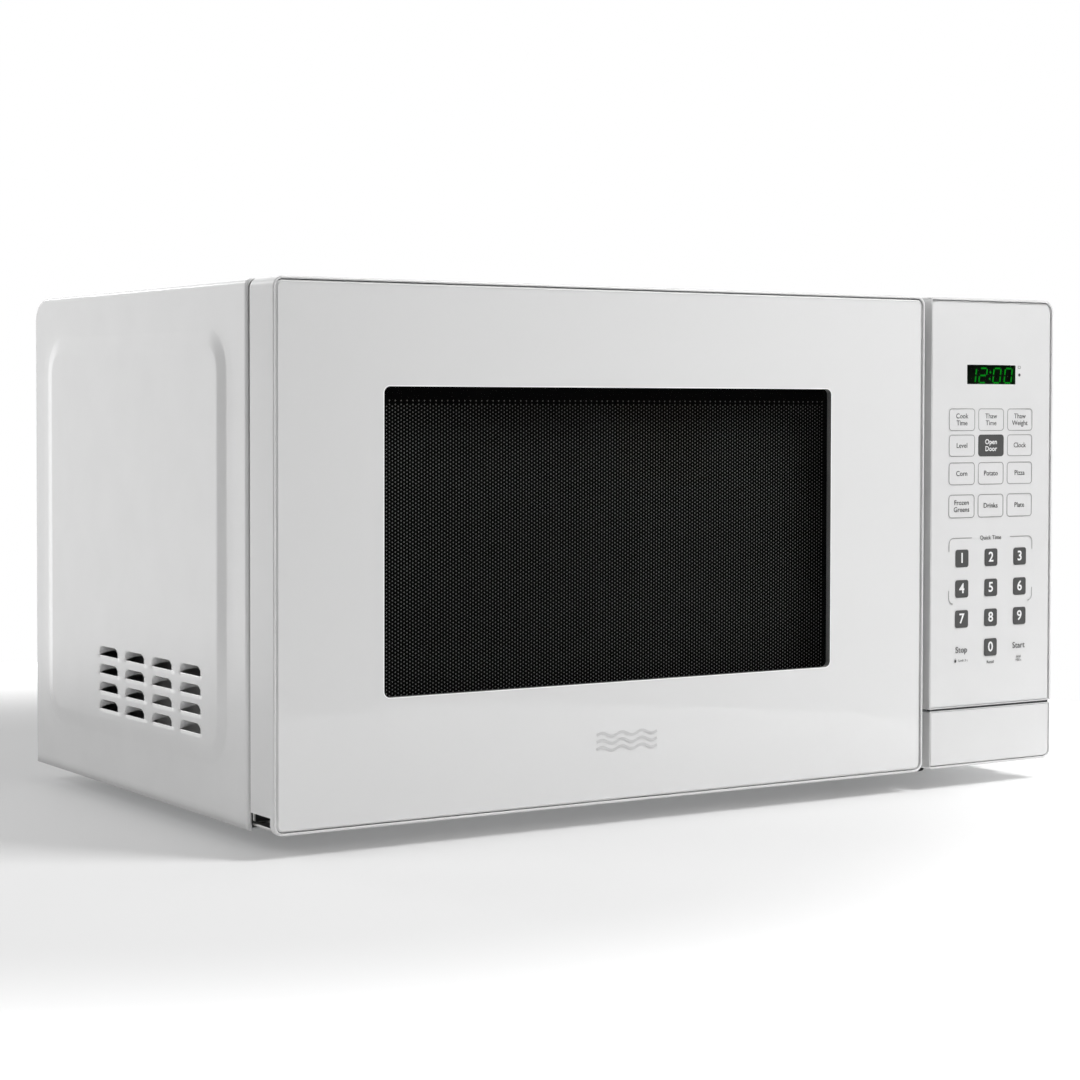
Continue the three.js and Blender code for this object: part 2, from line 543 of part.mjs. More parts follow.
function filterBoard() {
  const { x, y, z, thickness } = FILTER;
  const top = z + thickness;
  const chokeAt = [x[0] + CHOKE_COIL.x, CHOKE_COIL.y];
  const choke = rod('z', CHOKE_COIL.radius, [top - LAP, z + CHOKE_COIL.height], chokeAt);
  const fuse = box([x[1] - FUSE.x[0], x[1] - FUSE.x[1]], FUSE.y, [top - LAP, z + FUSE.height]);
  return join(box(x, y, run(z, thickness)), choke, fuse);
}

function thermalCutout() {
  const { y, z, radius, depth, ears, ear } = CUTOUT;
  const body = rod('x', radius, run(CAVITY_SIDE, depth), [y, z], 16);
  return join(body, box(run(CAVITY_SIDE, ear), span(y, ears[0]), span(z, ears[1])));
}

// ---------------------------------------------------------------- cooling fan and lamp
function fanShroud() {
  const { x, y, z, radius, plate, face, duct, bore } = FAN;
  const rearFace = [y[1] - face, y[1]];
  const square = box(span(x, plate), rearFace, span(z, plate));
  const tube = rod('y', radius + duct, [y[0], mid(rearFace)], [x, z], 32);
  const hole = rod('y', radius + bore, grow(y, PAST), [x, z], 32);
  const legs = [-1, 1].map((side) => {
    const legX = span(x + side * (plate / 2 - FAN_LEG.inset), FAN_LEG.width);
    return box(legX, [mid(rearFace), REAR.y - GAP], span(z, FAN_LEG.height));
  });
  return join(cut(join(square, tube), hole), legs);
}

function fanMotor() {
  const { x, z, motor } = FAN;
  const y = [FAN.y[1] + STACK.gap, REAR.y - GAP];
  const stack = box(span(x, motor), y, span(z, motor));
  const opening = box(span(x, STACK.window), grow(y, PAST), span(z - STACK.windowDrop, STACK.windowHeight));
  const bobbinZ = [z - motor / 2 - BOBBIN.below, z - BOBBIN.top];
  const bobbin = topSlab(span(x, BOBBIN.width), grow(y, -BOBBIN.inset), bobbinZ, BOBBIN.corner);
  const shaft = rod('y', BLADE.shaft, [BLADE_Y[0], y[0] + PAST], [x, z], 12);
  return join(cut(stack, opening), bobbin, shaft);
}

function fanBlade() {
  const { count, hub, root, thickness, chord, pitch, bore } = BLADE;
  const at = [FAN.x, FAN.z];
  const blades = [];
  for (let blade = 0; blade < count; blade += 1) {
    const vane = new THREE.BoxGeometry(FAN.radius - root, thickness, chord);
    vane.rotateX(pitch);
    vane.translate(mid([root, FAN.radius]), 0, 0);
    vane.rotateY(blade * 2 * Math.PI / count);
    vane.translate(FAN.x, mid(BLADE_Y), FAN.z);
    blades.push(solid(vane));
  }
  return cut(join(rod('y', hub, BLADE_Y, at, 20), blades), rod('y', bore, grow(BLADE_Y, PAST), at, 12));
}

function lampHolder() {
  const { hood, length, wall, rise, socket } = LAMP;
  const x = run(CAVITY_SIDE, length);
  const y = span(LAMP.y, hood);
  const z = span(LAMP.z, hood + rise);
  const hollow = box([x[0] - PAST, x[1] - wall], grow(y, -wall), grow(z, -wall));
  const hole = rod('x', socket, grow([x[1] - wall, x[1]], PAST), [LAMP.y, LAMP.z], 16);
  return cut(box(x, y, z), hollow, hole);
}

function lampBulb() {
  const capX = BULB.capX.map((along) => CAVITY_SIDE + along);
  const globe = solid(new THREE.SphereGeometry(BULB.radius, 16, 10));
  const glass = globe.translate([CAVITY_SIDE + BULB.x, LAMP.y, LAMP.z]);
  return join(rod('x', BULB.cap, capX, [LAMP.y, LAMP.z], 16), glass);
}

// ---------------------------------------------------------------- turntable
// Three copies of a body, a third of a turn apart about the tray's axis.
function threeRound(body, turn = 0) {
  return [0, 120, 240].map((angle) => body.rotate([0, 0, turn + angle]).translate([TURN.x, TURN.y, 0]));
}

function turntableMotor() {
  const at = [TURN.x, TURN.y];
  const top = MOTOR.z[1];
  const can = rod('z', MOTOR.radius, MOTOR.z, at, 32);
  const ears = box(span(TURN.x, MOTOR.ears), span(TURN.y, MOTOR.earWidth), [top - MOTOR.ear, top]);
  return join(can, ears, rod('z', MOTOR.shaft, [top - LAP, top + MOTOR.shaftLength], at, 12));
}

function turntableCoupler() {
  const at = [TURN.x, TURN.y];
  const z = [CAVITY.z[0] + COUPLER.floorGap, TRAY.bottom - COUPLER.trayGap];
  const stem = rod('z', COUPLER.stem, [MOTOR.z[1] + GAP, z[1]], at, 24);
  const arm = box([0, COUPLER.lobe], span(0, COUPLER.width), z);
  const shaftRoom = [MOTOR.z[1] - PAST, MOTOR.z[1] + MOTOR.shaftLength + COUPLER.trayGap];
  return cut(join(stem, threeRound(arm)), rod('z', MOTOR.shaft + GAP, shaftRoom, at, 12));
}

function rollerRing() {
  const [z0, z1] = RING.z;
  const profile = [[RING.inner, z0], [RING.outer, z0], [RING.outer, z1], [RING.inner, z1], [RING.inner, z0]];
  const at = [0, axleHeight()];
  const axle = rod('x', RING.axle, [mid([RING.inner, RING.outer]), RING.axleEnd], at, 12);
  const cap = rod('x', RING.cap, [RING.axleEnd - RING.capLength, RING.axleEnd], at, 12);
  return join(lathe(profile, [TURN.x, TURN.y]), threeRound(join(axle, cap)));
}

function axleHeight() {
  return CAVITY.z[0] + GAP + ROLLER.radius;
}

function rollers() {
  const { inner, outer, radius, bore } = ROLLER;
  const wheel = rod('x', radius, [inner, outer], [0, axleHeight()], 28);
  return threeRound(cut(wheel, rod('x', bore, grow([inner, outer], PAST), [0, axleHeight()], 12)));
}

function glassTray() {
  const { radius, bottom, thickness, rim, lip, rimTop, slope, slopeInside } = TRAY;
  const top = bottom + rim;
  const profile = [
    [0, bottom], [radius - slope, bottom], [radius - lip, top - lip], [radius, top - lip],
    [radius, top], [radius - rimTop, top], [radius - slopeInside, bottom + thickness],
    [0, bottom + thickness],
  ];
  const boss = rod('z', TRAY_BOSS.radius, [bottom - TRAY_BOSS.length, bottom + PAST], [TRAY_BOSS.at, 0], 12);
  return join(lathe(profile, [TURN.x, TURN.y], 56), threeRound(boss, TRAY_BOSS.turn));
}

// ---------------------------------------------------------------- door
function hingeRoom(z) {
  const x = [LEFT - PAST, HINGE.x + HINGE.arm / 2 + NOTCH.side];
  return box(x, [HINGE.y - HINGE.swingRoom, DOOR.back + PAST], z);
}

function doorFrame() {
  const x = [LEFT, DOOR.right];
  const z = [DOOR.bottom, DOOR.top];
  const shell = frontSlab(x, [FRONT, DOOR.back], z, DOOR.corner);
  const seatBack = FRONT + GLASS.recess;
  const shelfBack = seatBack + GLASS.shelf;
  const seatX = grow(x, -GLASS.inset);
  const seatZ = grow(z, -GLASS.inset);
  const glassSeat = frontSlab(seatX, [FRONT - PAST, seatBack], seatZ, DOOR.corner - GLASS.inset);
  const { frameGap, corner } = WINDOW;
  const shelfY = grow([seatBack, shelfBack], PAST);
  const sight = frontSlab(grow(WINDOW.x, frameGap), shelfY, grow(WINDOW.z, frameGap), corner);
  const rearRoom = box(grow(x, -DOOR.wall), [shelfBack, DOOR.back + PAST], grow(z, -DOOR.wall));
  const bossY = [mid([seatBack, shelfBack]), HINGE.y + BOSS.reach];
  const lowerBoss = box(BOSS.x, bossY, [DOOR.bottom + PAST, BOSS.lowerTop]);
  const upperBoss = box(BOSS.x, bossY, [BOSS.upperBottom, DOOR.top - PAST]);
  const lowerNotch = hingeRoom([DOOR.bottom - PAST, DOOR.bottom + NOTCH.lower]);
  const upperNotch = hingeRoom([DOOR.top - NOTCH.upper, DOOR.top + PAST]);
  const { lower, upper, boreExtra } = HINGE_PIN;
  const bores = [[DOOR.bottom, lower + boreExtra], [upper - boreExtra, DOOR.top]]
    .map((range) => rod('z', HINGE.bore, range, [HINGE.x, HINGE.y], 16));
  const heel = box(span(LEFT, 2 * DOOR.heel), span(DOOR.back, 2 * DOOR.heel), grow(z, PAST));
  const shape = join(cut(shell, glassSeat, sight, rearRoom), lowerBoss, upperBoss);
  return cut(shape, lowerNotch, upperNotch, bores, heel);
}

function doorGlass() {
  const inset = GLASS.inset + GAP;
  const x = grow([LEFT, DOOR.right], -inset);
  const z = grow([DOOR.bottom, DOOR.top], -inset);
  const y = run(FRONT + GLASS.recess - GAP - GLASS.thickness, GLASS.thickness);
  return frontSlab(x, y, z, DOOR.corner - inset);
}

function doorPanel() {
  const { x, z, y, thickness, chokeGap } = DOOR_PANEL;
  const wallY = [y + thickness / 2, CHOKE.front - GAP];
  const outerWall = ringOf(x, wallY, z, thickness);
  const innerWall = ringOf(grow(CAVITY.x, chokeGap), wallY, grow(CAVITY.z, chokeGap), thickness);
  return join(box(x, run(y, thickness), z), outerWall, innerWall);
}

function chokeCover() {
  const { front, back, lip, inset, corner } = CHOKE;
  const x = grow([LEFT, DOOR.right], -DOOR.wall - inset);
  const z = grow([DOOR.bottom, DOOR.top], -DOOR.wall - inset);
  const y = [front, back];
  const through = grow(y, PAST);
  const sight = frontSlab(grow(CAVITY.x, -lip), through, grow(CAVITY.z, -lip), corner);
  const slots = LATCH.hooks.map((hook) => box(hookSlotX(), through, hookSlotZ(hook)));
  return cut(box(x, y, z), sight, slots, hingeRoom([DOOR.bottom - PAST, DOOR.bottom + NOTCH.cover]));
}

function innerWindow() {
  const { x, z, sheet, sheetLap, sheetCorner } = WINDOW;
  const y = run(DOOR_PANEL.y + DOOR_PANEL.thickness + GAP, sheet);
  return frontSlab(grow(x, sheetLap), y, grow(z, sheetLap), sheetCorner);
}

function doorLatch() {
  const { x, hooks, tip, arm, barb } = LATCH;
  const { y } = LATCH_BAR;
  const bar = box(x, y, grow(hooks, LATCH_BAR.overrun));
  const hookBodies = hooks.map((z) => {
    const bottom = z - arm / 2;
    const barbProfile = [
      [tip - BARB.length, bottom - barb], [tip - BARB.nose, bottom - barb],
      [tip, bottom - BARB.bevel], [tip, bottom + BARB.bevel], [tip - BARB.length, bottom + BARB.bevel],
    ];
    return join(box(x, [y[1] - PAST, tip], span(z, arm)), sideProfile(barbProfile, x));
  });
  return join(bar, hookBodies);
}

function latchSpring() {
  const x = mid(LATCH.x);
  const { radius, y, top } = LATCH_SPRING;
  const start = LATCH.hooks[1] + LATCH_BAR.overrun + GAP + SPRING.wire;
  return coil(radius, SPRING.wire, SPRING.turns, start, LATCH.hooks[1] + top, (offset, along, target) => {
    return target.set(x + offset[0], y + offset[1], along);
  });
}

// ---------------------------------------------------------------- hinges
function hinge(z, pin, flange) {
  const tabY = run(PLATE_BACK + GAP, HINGE_TAB.thickness);
  const arm = box(span(HINGE.x, HINGE.arm), [HINGE.y, tabY[1]], z);
  const nose = rod('z', HINGE.arm / 2, z, [HINGE.x, HINGE.y], 20);
  const tab = box(HINGE_TAB.x, tabY, flange);
  return join(arm, nose, tab, rod('z', HINGE.pin, pin, [HINGE.x, HINGE.y], 16));
}

function lowerHinge() {
  const z = run(DOOR.bottom + HINGE.plate, HINGE.plate);
  return hinge(z, [z[0] + LAP, HINGE_PIN.lower], [z[0], HINGE_TAB.lower]);
}

function upperHinge() {
  const z = run(DOOR.top - HINGE.upperDrop, HINGE.plate);
  return hinge(z, [HINGE_PIN.upper, z[1] - LAP], [HINGE_TAB.upper, z[1]]);
}

// ---------------------------------------------------------------- latch housing and release
function latchHousing() {
  const front = PLATE_BACK + GAP;
  const { lap, z, thickness, wallGap, wallDepth, footTop } = HOUSING;
  const x = grow(LATCH.x, lap);
  const faceY = run(front, thickness);
  const flange = box(x, faceY, z);
  const wallX = run(LATCH.x[1] + wallGap, thickness);
  const wall = box(wallX, run(front, wallDepth), z);
  const base = box([x[0], BUTTON.stemX + lap], faceY, [z[0], footTop]);
  const lug = box(run(BUTTON.stemX - LUG.x, LUG.width), [front, LEVER.y + LUG.reach], [z[0], LUG.top]);
  const slots = LATCH.hooks.map((hook) => box(hookSlotX(), grow(faceY, PAST), hookSlotZ(hook)));
  const ledgeX = [LATCH.x[0] - LEDGE.left, LATCH.x[0] + LEDGE.right];
  const ledges = LATCH.hooks.map((hook) => {
    const top = hook - LATCH.arm / 2 - LATCH.barb - LEDGE.gap;
    return box(ledgeX, [mid(faceY), LATCH.tip - LEDGE.stop], [top - LEDGE.height, top]);
  });
  const bore = rod('x', LEVER.shaft + GAP, [wallX[0] - PAST, BUTTON.stemX], [LEVER.y, LEVER.z]);
  return cut(join(cut(join(flange, wall, base), slots), ledges, lug), bore);
}

function doorSwitch(z) {
  const x = [LATCH.x[0] - SWITCH.left, LATCH.x[1] + SWITCH.right];
  const y = run(LATCH.tip + SWITCH.gap, SWITCH.depth);
  const body = box(x, y, span(z, SWITCH.height));
  const plungerY = [y[0] - PLUNGER.reach, y[0] + PAST];
  const plunger = box(span(mid(x), PLUNGER.width), plungerY, span(z - PLUNGER.drop, PLUNGER.height));
  const blade = span(mid(x), TERMINAL.width);
  const terminals = [-TERMINAL.spread, 0, TERMINAL.spread]
    .map((shift) => box(blade, [y[1] - PAST, y[1] + TERMINAL.length], span(z + shift, TERMINAL.height)));
  return join(body, plunger, terminals);
}

function releaseLever() {
  const { y, z, shaft, arm, drop, half, width, hookInset } = LEVER;
  const { low, high, top, tip, step } = LIFTER;
  const hookX = [LATCH.x[0] + hookInset, LATCH.x[1]];
  const stemX = span(BUTTON.stemX, width);
  const end = y + arm;
  const lifter = [
    [y - half, z - half], [y + half, z - half], [end + tip, z + low], [end + tip, z + top],
    [end - step, z + top], [end - tip, z + high], [y - half, z + half],
  ];
  const pushed = box(stemX, span(y, 2 * half), [z - drop, z]);
  return join(rod('x', shaft, [hookX[0], stemX[1]], [y, z]), sideProfile(lifter, hookX), pushed);
}

function releaseButton() {
  const { z, depth, face, wall, corner, stemX, stemZ } = BUTTON;
  const x = [PANEL.left + GAP, RIGHT];
  const y = run(FRONT, depth);
  const hollow = box(grow(x, -wall), [FRONT + face, y[1] + PAST], grow(z, -wall));
  const shoulder = LEVER.y - STEM.stop;
  const stem = rod('y', STEM.radius, [FRONT + face / 2, shoulder], [stemX, stemZ]);
  const tip = rod('y', STEM.tip, [shoulder - LAP, LEVER.y - STEM.tipStop], [stemX, stemZ]);
  return join(cut(frontSlab(x, y, z, corner), hollow), stem, tip);
}

function buttonSpring() {
  const y = grow([FRONT + BUTTON.face, PAN.front], -GAP - SPRING.wire);
  return coil(SPRING.radius, SPRING.wire, SPRING.turns, y[0], y[1], (offset, along, target) => {
    return target.set(BUTTON.stemX + offset[0], along, BUTTON.stemZ + offset[1]);
  });
}

// ---------------------------------------------------------------- control panel
function panelFrame() {
  const x = [PANEL.left, RIGHT];
  const z = [PANEL.bottom, PANEL.top];
  const shell = frontSlab(x, [FRONT, PANEL.back], z, PANEL.corner);
  const squareLower = box(x, [FRONT, PANEL.back], run(PANEL.bottom, 2 * PANEL.corner));
  const seatX = grow(x, -OVERLAY.inset);
  const seatY = [FRONT - PAST, FRONT + OVERLAY.recess];
  const seatZ = [OVERLAY.bottom, PANEL.top - OVERLAY.inset];
  const seat = frontSlab(seatX, seatY, seatZ, PANEL.corner - OVERLAY.inset);
  const back = PANEL.back + PAST;
  const rearRoom = box(grow(x, -PANEL.wall), [FRONT + PANEL.face, back], grow(z, -PANEL.wall));
  const faceY = grow([FRONT, FRONT + PANEL.face], PAST);
  const sight = box(grow(DISPLAY.x, -DISPLAY.lip), faceY, grow(DISPLAY.z, -DISPLAY.lip));
  const panX = [PANEL.left + PAN.left, RIGHT - PAN.right];
  const pan = box(panX, [PAN.front, PANEL.back], [PAN.bottom, PANEL.bottom + PAST]);
  const panZ = [PAN.bottom + PAN.wall, PANEL.bottom + PANEL.wall + PAST];
  const panRoom = box(grow(panX, -PAN.wall), [PAN.front + PAN.wall, back], panZ);
  const holeY = grow(run(PAN.front, PAN.wall), PAST);
  const stemHole = rod('y', STEM.radius + STEM.gap, holeY, [BUTTON.stemX, BUTTON.stemZ]);
  return cut(join(cut(join(shell, squareLower), seat, rearRoom, sight), cut(pan, panRoom)), stemHole);
}

function panelOverlay() {
  const x = grow([PANEL.left, RIGHT], -OVERLAY.inset - GAP);
  const z = [OVERLAY.bottom + GAP, PANEL.top - OVERLAY.inset - GAP];
  const y = run(FRONT + OVERLAY.recess - GAP - OVERLAY.thickness, OVERLAY.thickness);
  const sight = box(DISPLAY.x, grow(y, PAST), DISPLAY.z);
  return cut(frontSlab(x, y, z, PANEL.corner - OVERLAY.inset - GAP), sight);
}

function displayWindow() {
  const y = run(FRONT + OVERLAY.recess - GAP - OVERLAY.thickness, OVERLAY.thickness);
  return box(grow(DISPLAY.x, -GAP), y, grow(DISPLAY.z, -GAP));
}

function displayModule() {
  return box(grow(DISPLAY.x, MODULE.lap), MODULE.y, grow(DISPLAY.z, MODULE.lap));
}

function controlBoard() {
  const y = run(BOARD.y, BOARD.thickness);
  const board = box(grow([PANEL.left, RIGHT], -BOARD.inset), y, BOARD.z);
  const relayX = run(PANEL.left + RELAY.x, RELAY.width);
  const relays = RELAY.z.map((z) => box(relayX, [mid(y), y[1] + RELAY.depth], span(z, RELAY.height)));
  const { x, z, radius, depth } = SOUNDER;
  return join(board, relays, rod('y', radius, [mid(y), y[1] + depth], [x, z]));
}

// ---------------------------------------------------------------- assembly
piece('outer_wrap', outerWrap(), MATERIAL.paintedSteel);
piece('base_plate', basePlate(), MATERIAL.galvanised);
piece('rear_panel', rearPanel(), MATERIAL.galvanised);
piece('front_plate', frontPlate(), MATERIAL.enamel);
piece('cavity_shell', cavityShell(), MATERIAL.enamel);

const feet = {
  front_left: [-1, FOOT.front],
  front_right: [1, FOOT.front],
  rear_left: [-1, FOOT.rear],
  rear_right: [1, FOOT.rear],
};
for (const [place, [side, y]] of Object.entries(feet)) {
  piece(`foot_${place}`, foot(side * (RIGHT - FOOT.insetX), y), MATERIAL.rubber);
}
piece('rear_spacer_left', rearSpacer(LEFT + SPACER.insetX), MATERIAL.darkPlastic);
piece('rear_spacer_right', rearSpacer(RIGHT - SPACER.insetX), MATERIAL.darkPlastic);
piece('cord_bush', cordBush(), MATERIAL.darkPlastic);
SCREW.x.forEach((x, index) => piece(`rear_screw_${index + 1}`, rearScrew(x), MATERIAL.springSteel));

piece('waveguide', waveguide(), MATERIAL.galvanised);
piece('waveguide_cover', waveguideCover(), MATERIAL.mica);
piece('magnetron_core', magnetronCore(), MATERIAL.springSteel);
piece('magnetron_yoke', magnetronYoke(), MATERIAL.galvanised);
piece('magnetron_filter_box', magnetronFilterBox(), MATERIAL.galvanised);
piece('transformer_core', transformerCore(), MATERIAL.springSteel);
piece('primary_winding', winding(WINDING.primary), MATERIAL.copper);
piece('secondary_winding', winding(WINDING.secondary), MATERIAL.copper);
piece('capacitor', capacitor(), MATERIAL.galvanised);
piece('capacitor_bracket', capacitorBracket(), MATERIAL.galvanised);
piece('filter_board', filterBoard(), MATERIAL.circuitBoard);
piece('thermal_cutout', thermalCutout(), MATERIAL.darkPlastic);

piece('fan_shroud', fanShroud(), MATERIAL.greyPlastic);
piece('fan_motor', fanMotor(), MATERIAL.springSteel);
piece('fan_blade', fanBlade(), MATERIAL.darkPlastic);
piece('lamp_holder', lampHolder(), MATERIAL.galvanised);
piece('lamp_bulb', lampBulb(), MATERIAL.glass);

piece('turntable_motor', turntableMotor(), MATERIAL.galvanised);
piece('turntable_coupler', turntableCoupler(), MATERIAL.nylon);
piece('roller_ring', rollerRing(), MATERIAL.nylon);
rollers().forEach((body, index) => piece(`roller_${index + 1}`, body, MATERIAL.nylon));
piece('glass_tray', glassTray(), MATERIAL.glass);

piece('lower_hinge', lowerHinge(), MATERIAL.springSteel);
piece('upper_hinge', upperHinge(), MATERIAL.springSteel);
piece('latch_housing', latchHousing(), MATERIAL.nylon);
piece('primary_switch', doorSwitch(SWITCH.primary), MATERIAL.darkPlastic);
piece('secondary_switch', doorSwitch(SWITCH.secondary), MATERIAL.darkPlastic);
piece('monitor_switch', doorSwitch(SWITCH.monitor), MATERIAL.darkPlastic);
piece('release_lever', releaseLever(), MATERIAL.nylon);

piece('panel_frame', panelFrame(), MATERIAL.whitePlastic);
piece('panel_overlay', panelOverlay(), MATERIAL.keypad);
piece('display_window', displayWindow(), MATERIAL.smoked);
piece('display_module', displayModule(), MATERIAL.darkPlastic);
piece('control_board', controlBoard(), MATERIAL.circuitBoard);
piece('release_button', releaseButton(), MATERIAL.whitePlastic);
piece('button_spring', buttonSpring(), MATERIAL.springSteel);

piece('door_frame', doorFrame(), MATERIAL.whitePlastic);
piece('door_glass', doorGlass(), MATERIAL.printedGlass);
piece('door_panel', doorPanel(), MATERIAL.blackPaint);
piece('choke_cover', chokeCover(), MATERIAL.darkPlastic);
piece('inner_window', innerWindow(), MATERIAL.glass);
piece('door_latch', doorLatch(), MATERIAL.nylon);
piece('latch_spring', latchSpring(), MATERIAL.springSteel);

export default oven;
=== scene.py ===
import math

import bmesh
import bpy
from mathutils import Matrix, Vector


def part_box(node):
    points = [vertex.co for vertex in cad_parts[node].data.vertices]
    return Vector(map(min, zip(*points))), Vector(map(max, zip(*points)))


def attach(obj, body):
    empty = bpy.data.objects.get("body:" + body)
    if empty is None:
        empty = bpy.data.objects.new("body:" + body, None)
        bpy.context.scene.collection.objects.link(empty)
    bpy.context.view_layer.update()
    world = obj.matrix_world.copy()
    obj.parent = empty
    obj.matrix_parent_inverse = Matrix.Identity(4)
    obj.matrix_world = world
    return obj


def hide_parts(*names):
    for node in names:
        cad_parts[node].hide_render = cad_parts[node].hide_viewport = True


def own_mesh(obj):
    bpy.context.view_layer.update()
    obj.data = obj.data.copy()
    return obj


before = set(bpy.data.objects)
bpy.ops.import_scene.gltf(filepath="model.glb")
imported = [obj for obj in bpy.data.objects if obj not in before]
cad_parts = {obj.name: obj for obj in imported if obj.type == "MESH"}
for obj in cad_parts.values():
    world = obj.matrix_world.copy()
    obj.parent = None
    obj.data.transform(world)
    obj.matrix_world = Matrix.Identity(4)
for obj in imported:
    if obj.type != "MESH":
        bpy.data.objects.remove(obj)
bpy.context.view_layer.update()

MM = 0.001
PI = math.pi
SHARP_ANGLE = 32
scene = bpy.context.scene


# ------------------------------------------------------------------ sizes, in millimetres
def corners(node):
    """A CAD node's lowest and highest corner."""
    low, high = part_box(node)
    return low / MM, high / MM


def centre_of(node):
    """The middle of a CAD node's box."""
    return tuple((low + high) / 2 for low, high in zip(*corners(node)))


DOOR_LOW, DOOR_HIGH = corners("door_frame")
GLASS_LOW, GLASS_HIGH = corners("door_glass")
WRAP_LOW, WRAP_HIGH = corners("outer_wrap")
FRAME_LOW, FRAME_HIGH = corners("panel_frame")
FILM_LOW, FILM_HIGH = corners("panel_overlay")
LENS_LOW, LENS_HIGH = corners("display_window")
BAR_LOW, BAR_HIGH = corners("release_button")
SCREEN_LOW, SCREEN_HIGH = corners("door_panel")
TRAY_LOW, TRAY_HIGH = corners("glass_tray")

FRONT = DOOR_LOW.y
DOOR_CORNER = 5.0
RIM = 1.2
WINDOW_X = (-179.0, 80.8)
WINDOW_Z = (69.6, 211.4)
WINDOW_CORNER = 3.0
WINDOW_RADII = (WINDOW_CORNER,) * 4


# ------------------------------------------------------------------ materials
GLOSS_SPREAD = 0.15
MOTTLE_RAMP = (0.3, 0.7)
def noise(tree, vector, size, detail=2.0):
    """A noise texture whose blotches are about size metres across."""
    made = tree.nodes.new("ShaderNodeTexNoise")
    made.inputs["Scale"].default_value = 1 / size
    made.inputs["Detail"].default_value = detail
    tree.links.new(vector, made.inputs["Vector"])
    return made.outputs["Fac"]


def surface(name, colour, roughness, metallic=0.0, mottle=0.03, mottle_size=0.03, grain_size=0.0006,
            grain_height=0.000006, stretch=(1.0, 1.0, 1.0), **sockets):
    """A principled material with uneven colour and gloss and a fine grain in relief."""
    made = bpy.data.materials.new(name)
    made.use_nodes = True
    tree = made.node_tree
    shader = tree.nodes["Principled BSDF"]
    place = tree.nodes.new("ShaderNodeTexCoord")
    mapping = tree.nodes.new("ShaderNodeMapping")
    mapping.inputs["Scale"].default_value = stretch
    tree.links.new(place.outputs["Object"], mapping.inputs["Vector"])
    vector = mapping.outputs["Vector"]
    patches = noise(tree, vector, mottle_size)
    shades = tree.nodes.new("ShaderNodeValToRGB")
    for stop, position, factor in zip(shades.color_ramp.elements, MOTTLE_RAMP, (1 - mottle, 1 + mottle)):
        stop.position = position
        stop.color = (*[min(1.0, c * factor) for c in colour], 1)
    tree.links.new(patches, shades.inputs["Fac"])
    tree.links.new(shades.outputs["Color"], shader.inputs["Base Color"])
    gloss = tree.nodes.new("ShaderNodeMapRange")
    gloss.inputs["To Min"].default_value = roughness * (1 - GLOSS_SPREAD)
    gloss.inputs["To Max"].default_value = min(1.0, roughness * (1 + GLOSS_SPREAD))
    tree.links.new(noise(tree, vector, mottle_size / 3), gloss.inputs["Value"])
    tree.links.new(gloss.outputs["Result"], shader.inputs["Roughness"])
    relief = tree.nodes.new("ShaderNodeBump")
    relief.inputs["Distance"].default_value = grain_height
    tree.links.new(noise(tree, vector, grain_size), relief.inputs["Height"])
    tree.links.new(relief.outputs["Normal"], shader.inputs["Normal"])
    shader.inputs["Metallic"].default_value = metallic
    for socket, value in sockets.items():
        shader.inputs[socket.replace("_", " ")].default_value = value
    return made


def grey(value):
    """A colour without hue."""
    return (value, value, value)


PAINT = surface("white_paint", grey(0.74), 0.2, mottle=0.015, grain_size=0.0011, grain_height=0.000012)
STEEL = surface("galvanised_steel", (0.52, 0.53, 0.54), 0.38, 0.85, mottle=0.12, mottle_size=0.012)
ENAMEL = surface("enamel", (0.63, 0.63, 0.62), 0.35, mottle=0.04, grain_size=0.0009)
RUBBER = surface("foot_rubber", grey(0.05), 0.8, grain_height=0.00003)
DARK = surface("black_plastic", grey(0.025), 0.45, grain_size=0.0005, grain_height=0.00001)
BRIGHT = surface("bright_steel", (0.62, 0.62, 0.61), 0.3, 0.95, mottle=0.06, stretch=(1, 1, 12))
MICA = surface("mica", (0.48, 0.40, 0.28), 0.6, mottle=0.2, mottle_size=0.004, stretch=(1, 3, 1))
COPPER = surface("copper_wire", (0.55, 0.22, 0.09), 0.35, 0.9, grain_size=0.0008, grain_height=0.0001,
                 stretch=(1, 1, 6))
BOARD = surface("circuit_board", (0.04, 0.16, 0.05), 0.5, mottle=0.3, mottle_size=0.003)
MOULDED = surface("grey_plastic", grey(0.5), 0.5)
NYLON = surface("nylon", (0.78, 0.76, 0.70), 0.45, Subsurface_Weight=0.1)
WHITE = surface("white_plastic", grey(0.70), 0.3, mottle=0.01, grain_size=0.0007, grain_height=0.000004)
FILM = surface("keypad_film", grey(0.71), 0.4, mottle=0.01, grain_size=0.0003, grain_height=0.000004)
PRINT = surface("printed_glass", grey(0.75), 0.35, mottle=0.008, mottle_size=0.2, grain_height=0.0,
                Coat_Weight=1.0, Coat_IOR=1.3, Coat_Roughness=0.03, Specular_IOR_Level=0.2)
SMOKED = surface("smoked_window", grey(0.003), 0.05, mottle=0.1, grain_height=0.0, Alpha=0.35,
                 Specular_IOR_Level=0.2)
LENS = surface("display_lens", grey(0.003), 0.08, mottle=0.1, grain_height=0.0, Alpha=0.5,
               Specular_IOR_Level=0.3)
CLEAR = surface("clear_glass", (0.80, 0.90, 0.87), 0.05, mottle=0.02, grain_height=0.0, Alpha=0.22)
SHEET = surface("clear_sheet", grey(0.75), 0.3, mottle=0.02, grain_height=0.0, Alpha=0.6)
BLACK = surface("black_paint", grey(0.004), 0.6, grain_size=0.0009, grain_height=0.00001,
                Specular_IOR_Level=0.12)
INK = surface("ink", grey(0.05), 0.5)
INK_LINE = surface("ink_line", grey(0.33), 0.5)
INK_PAD = surface("ink_pad", grey(0.085), 0.4)
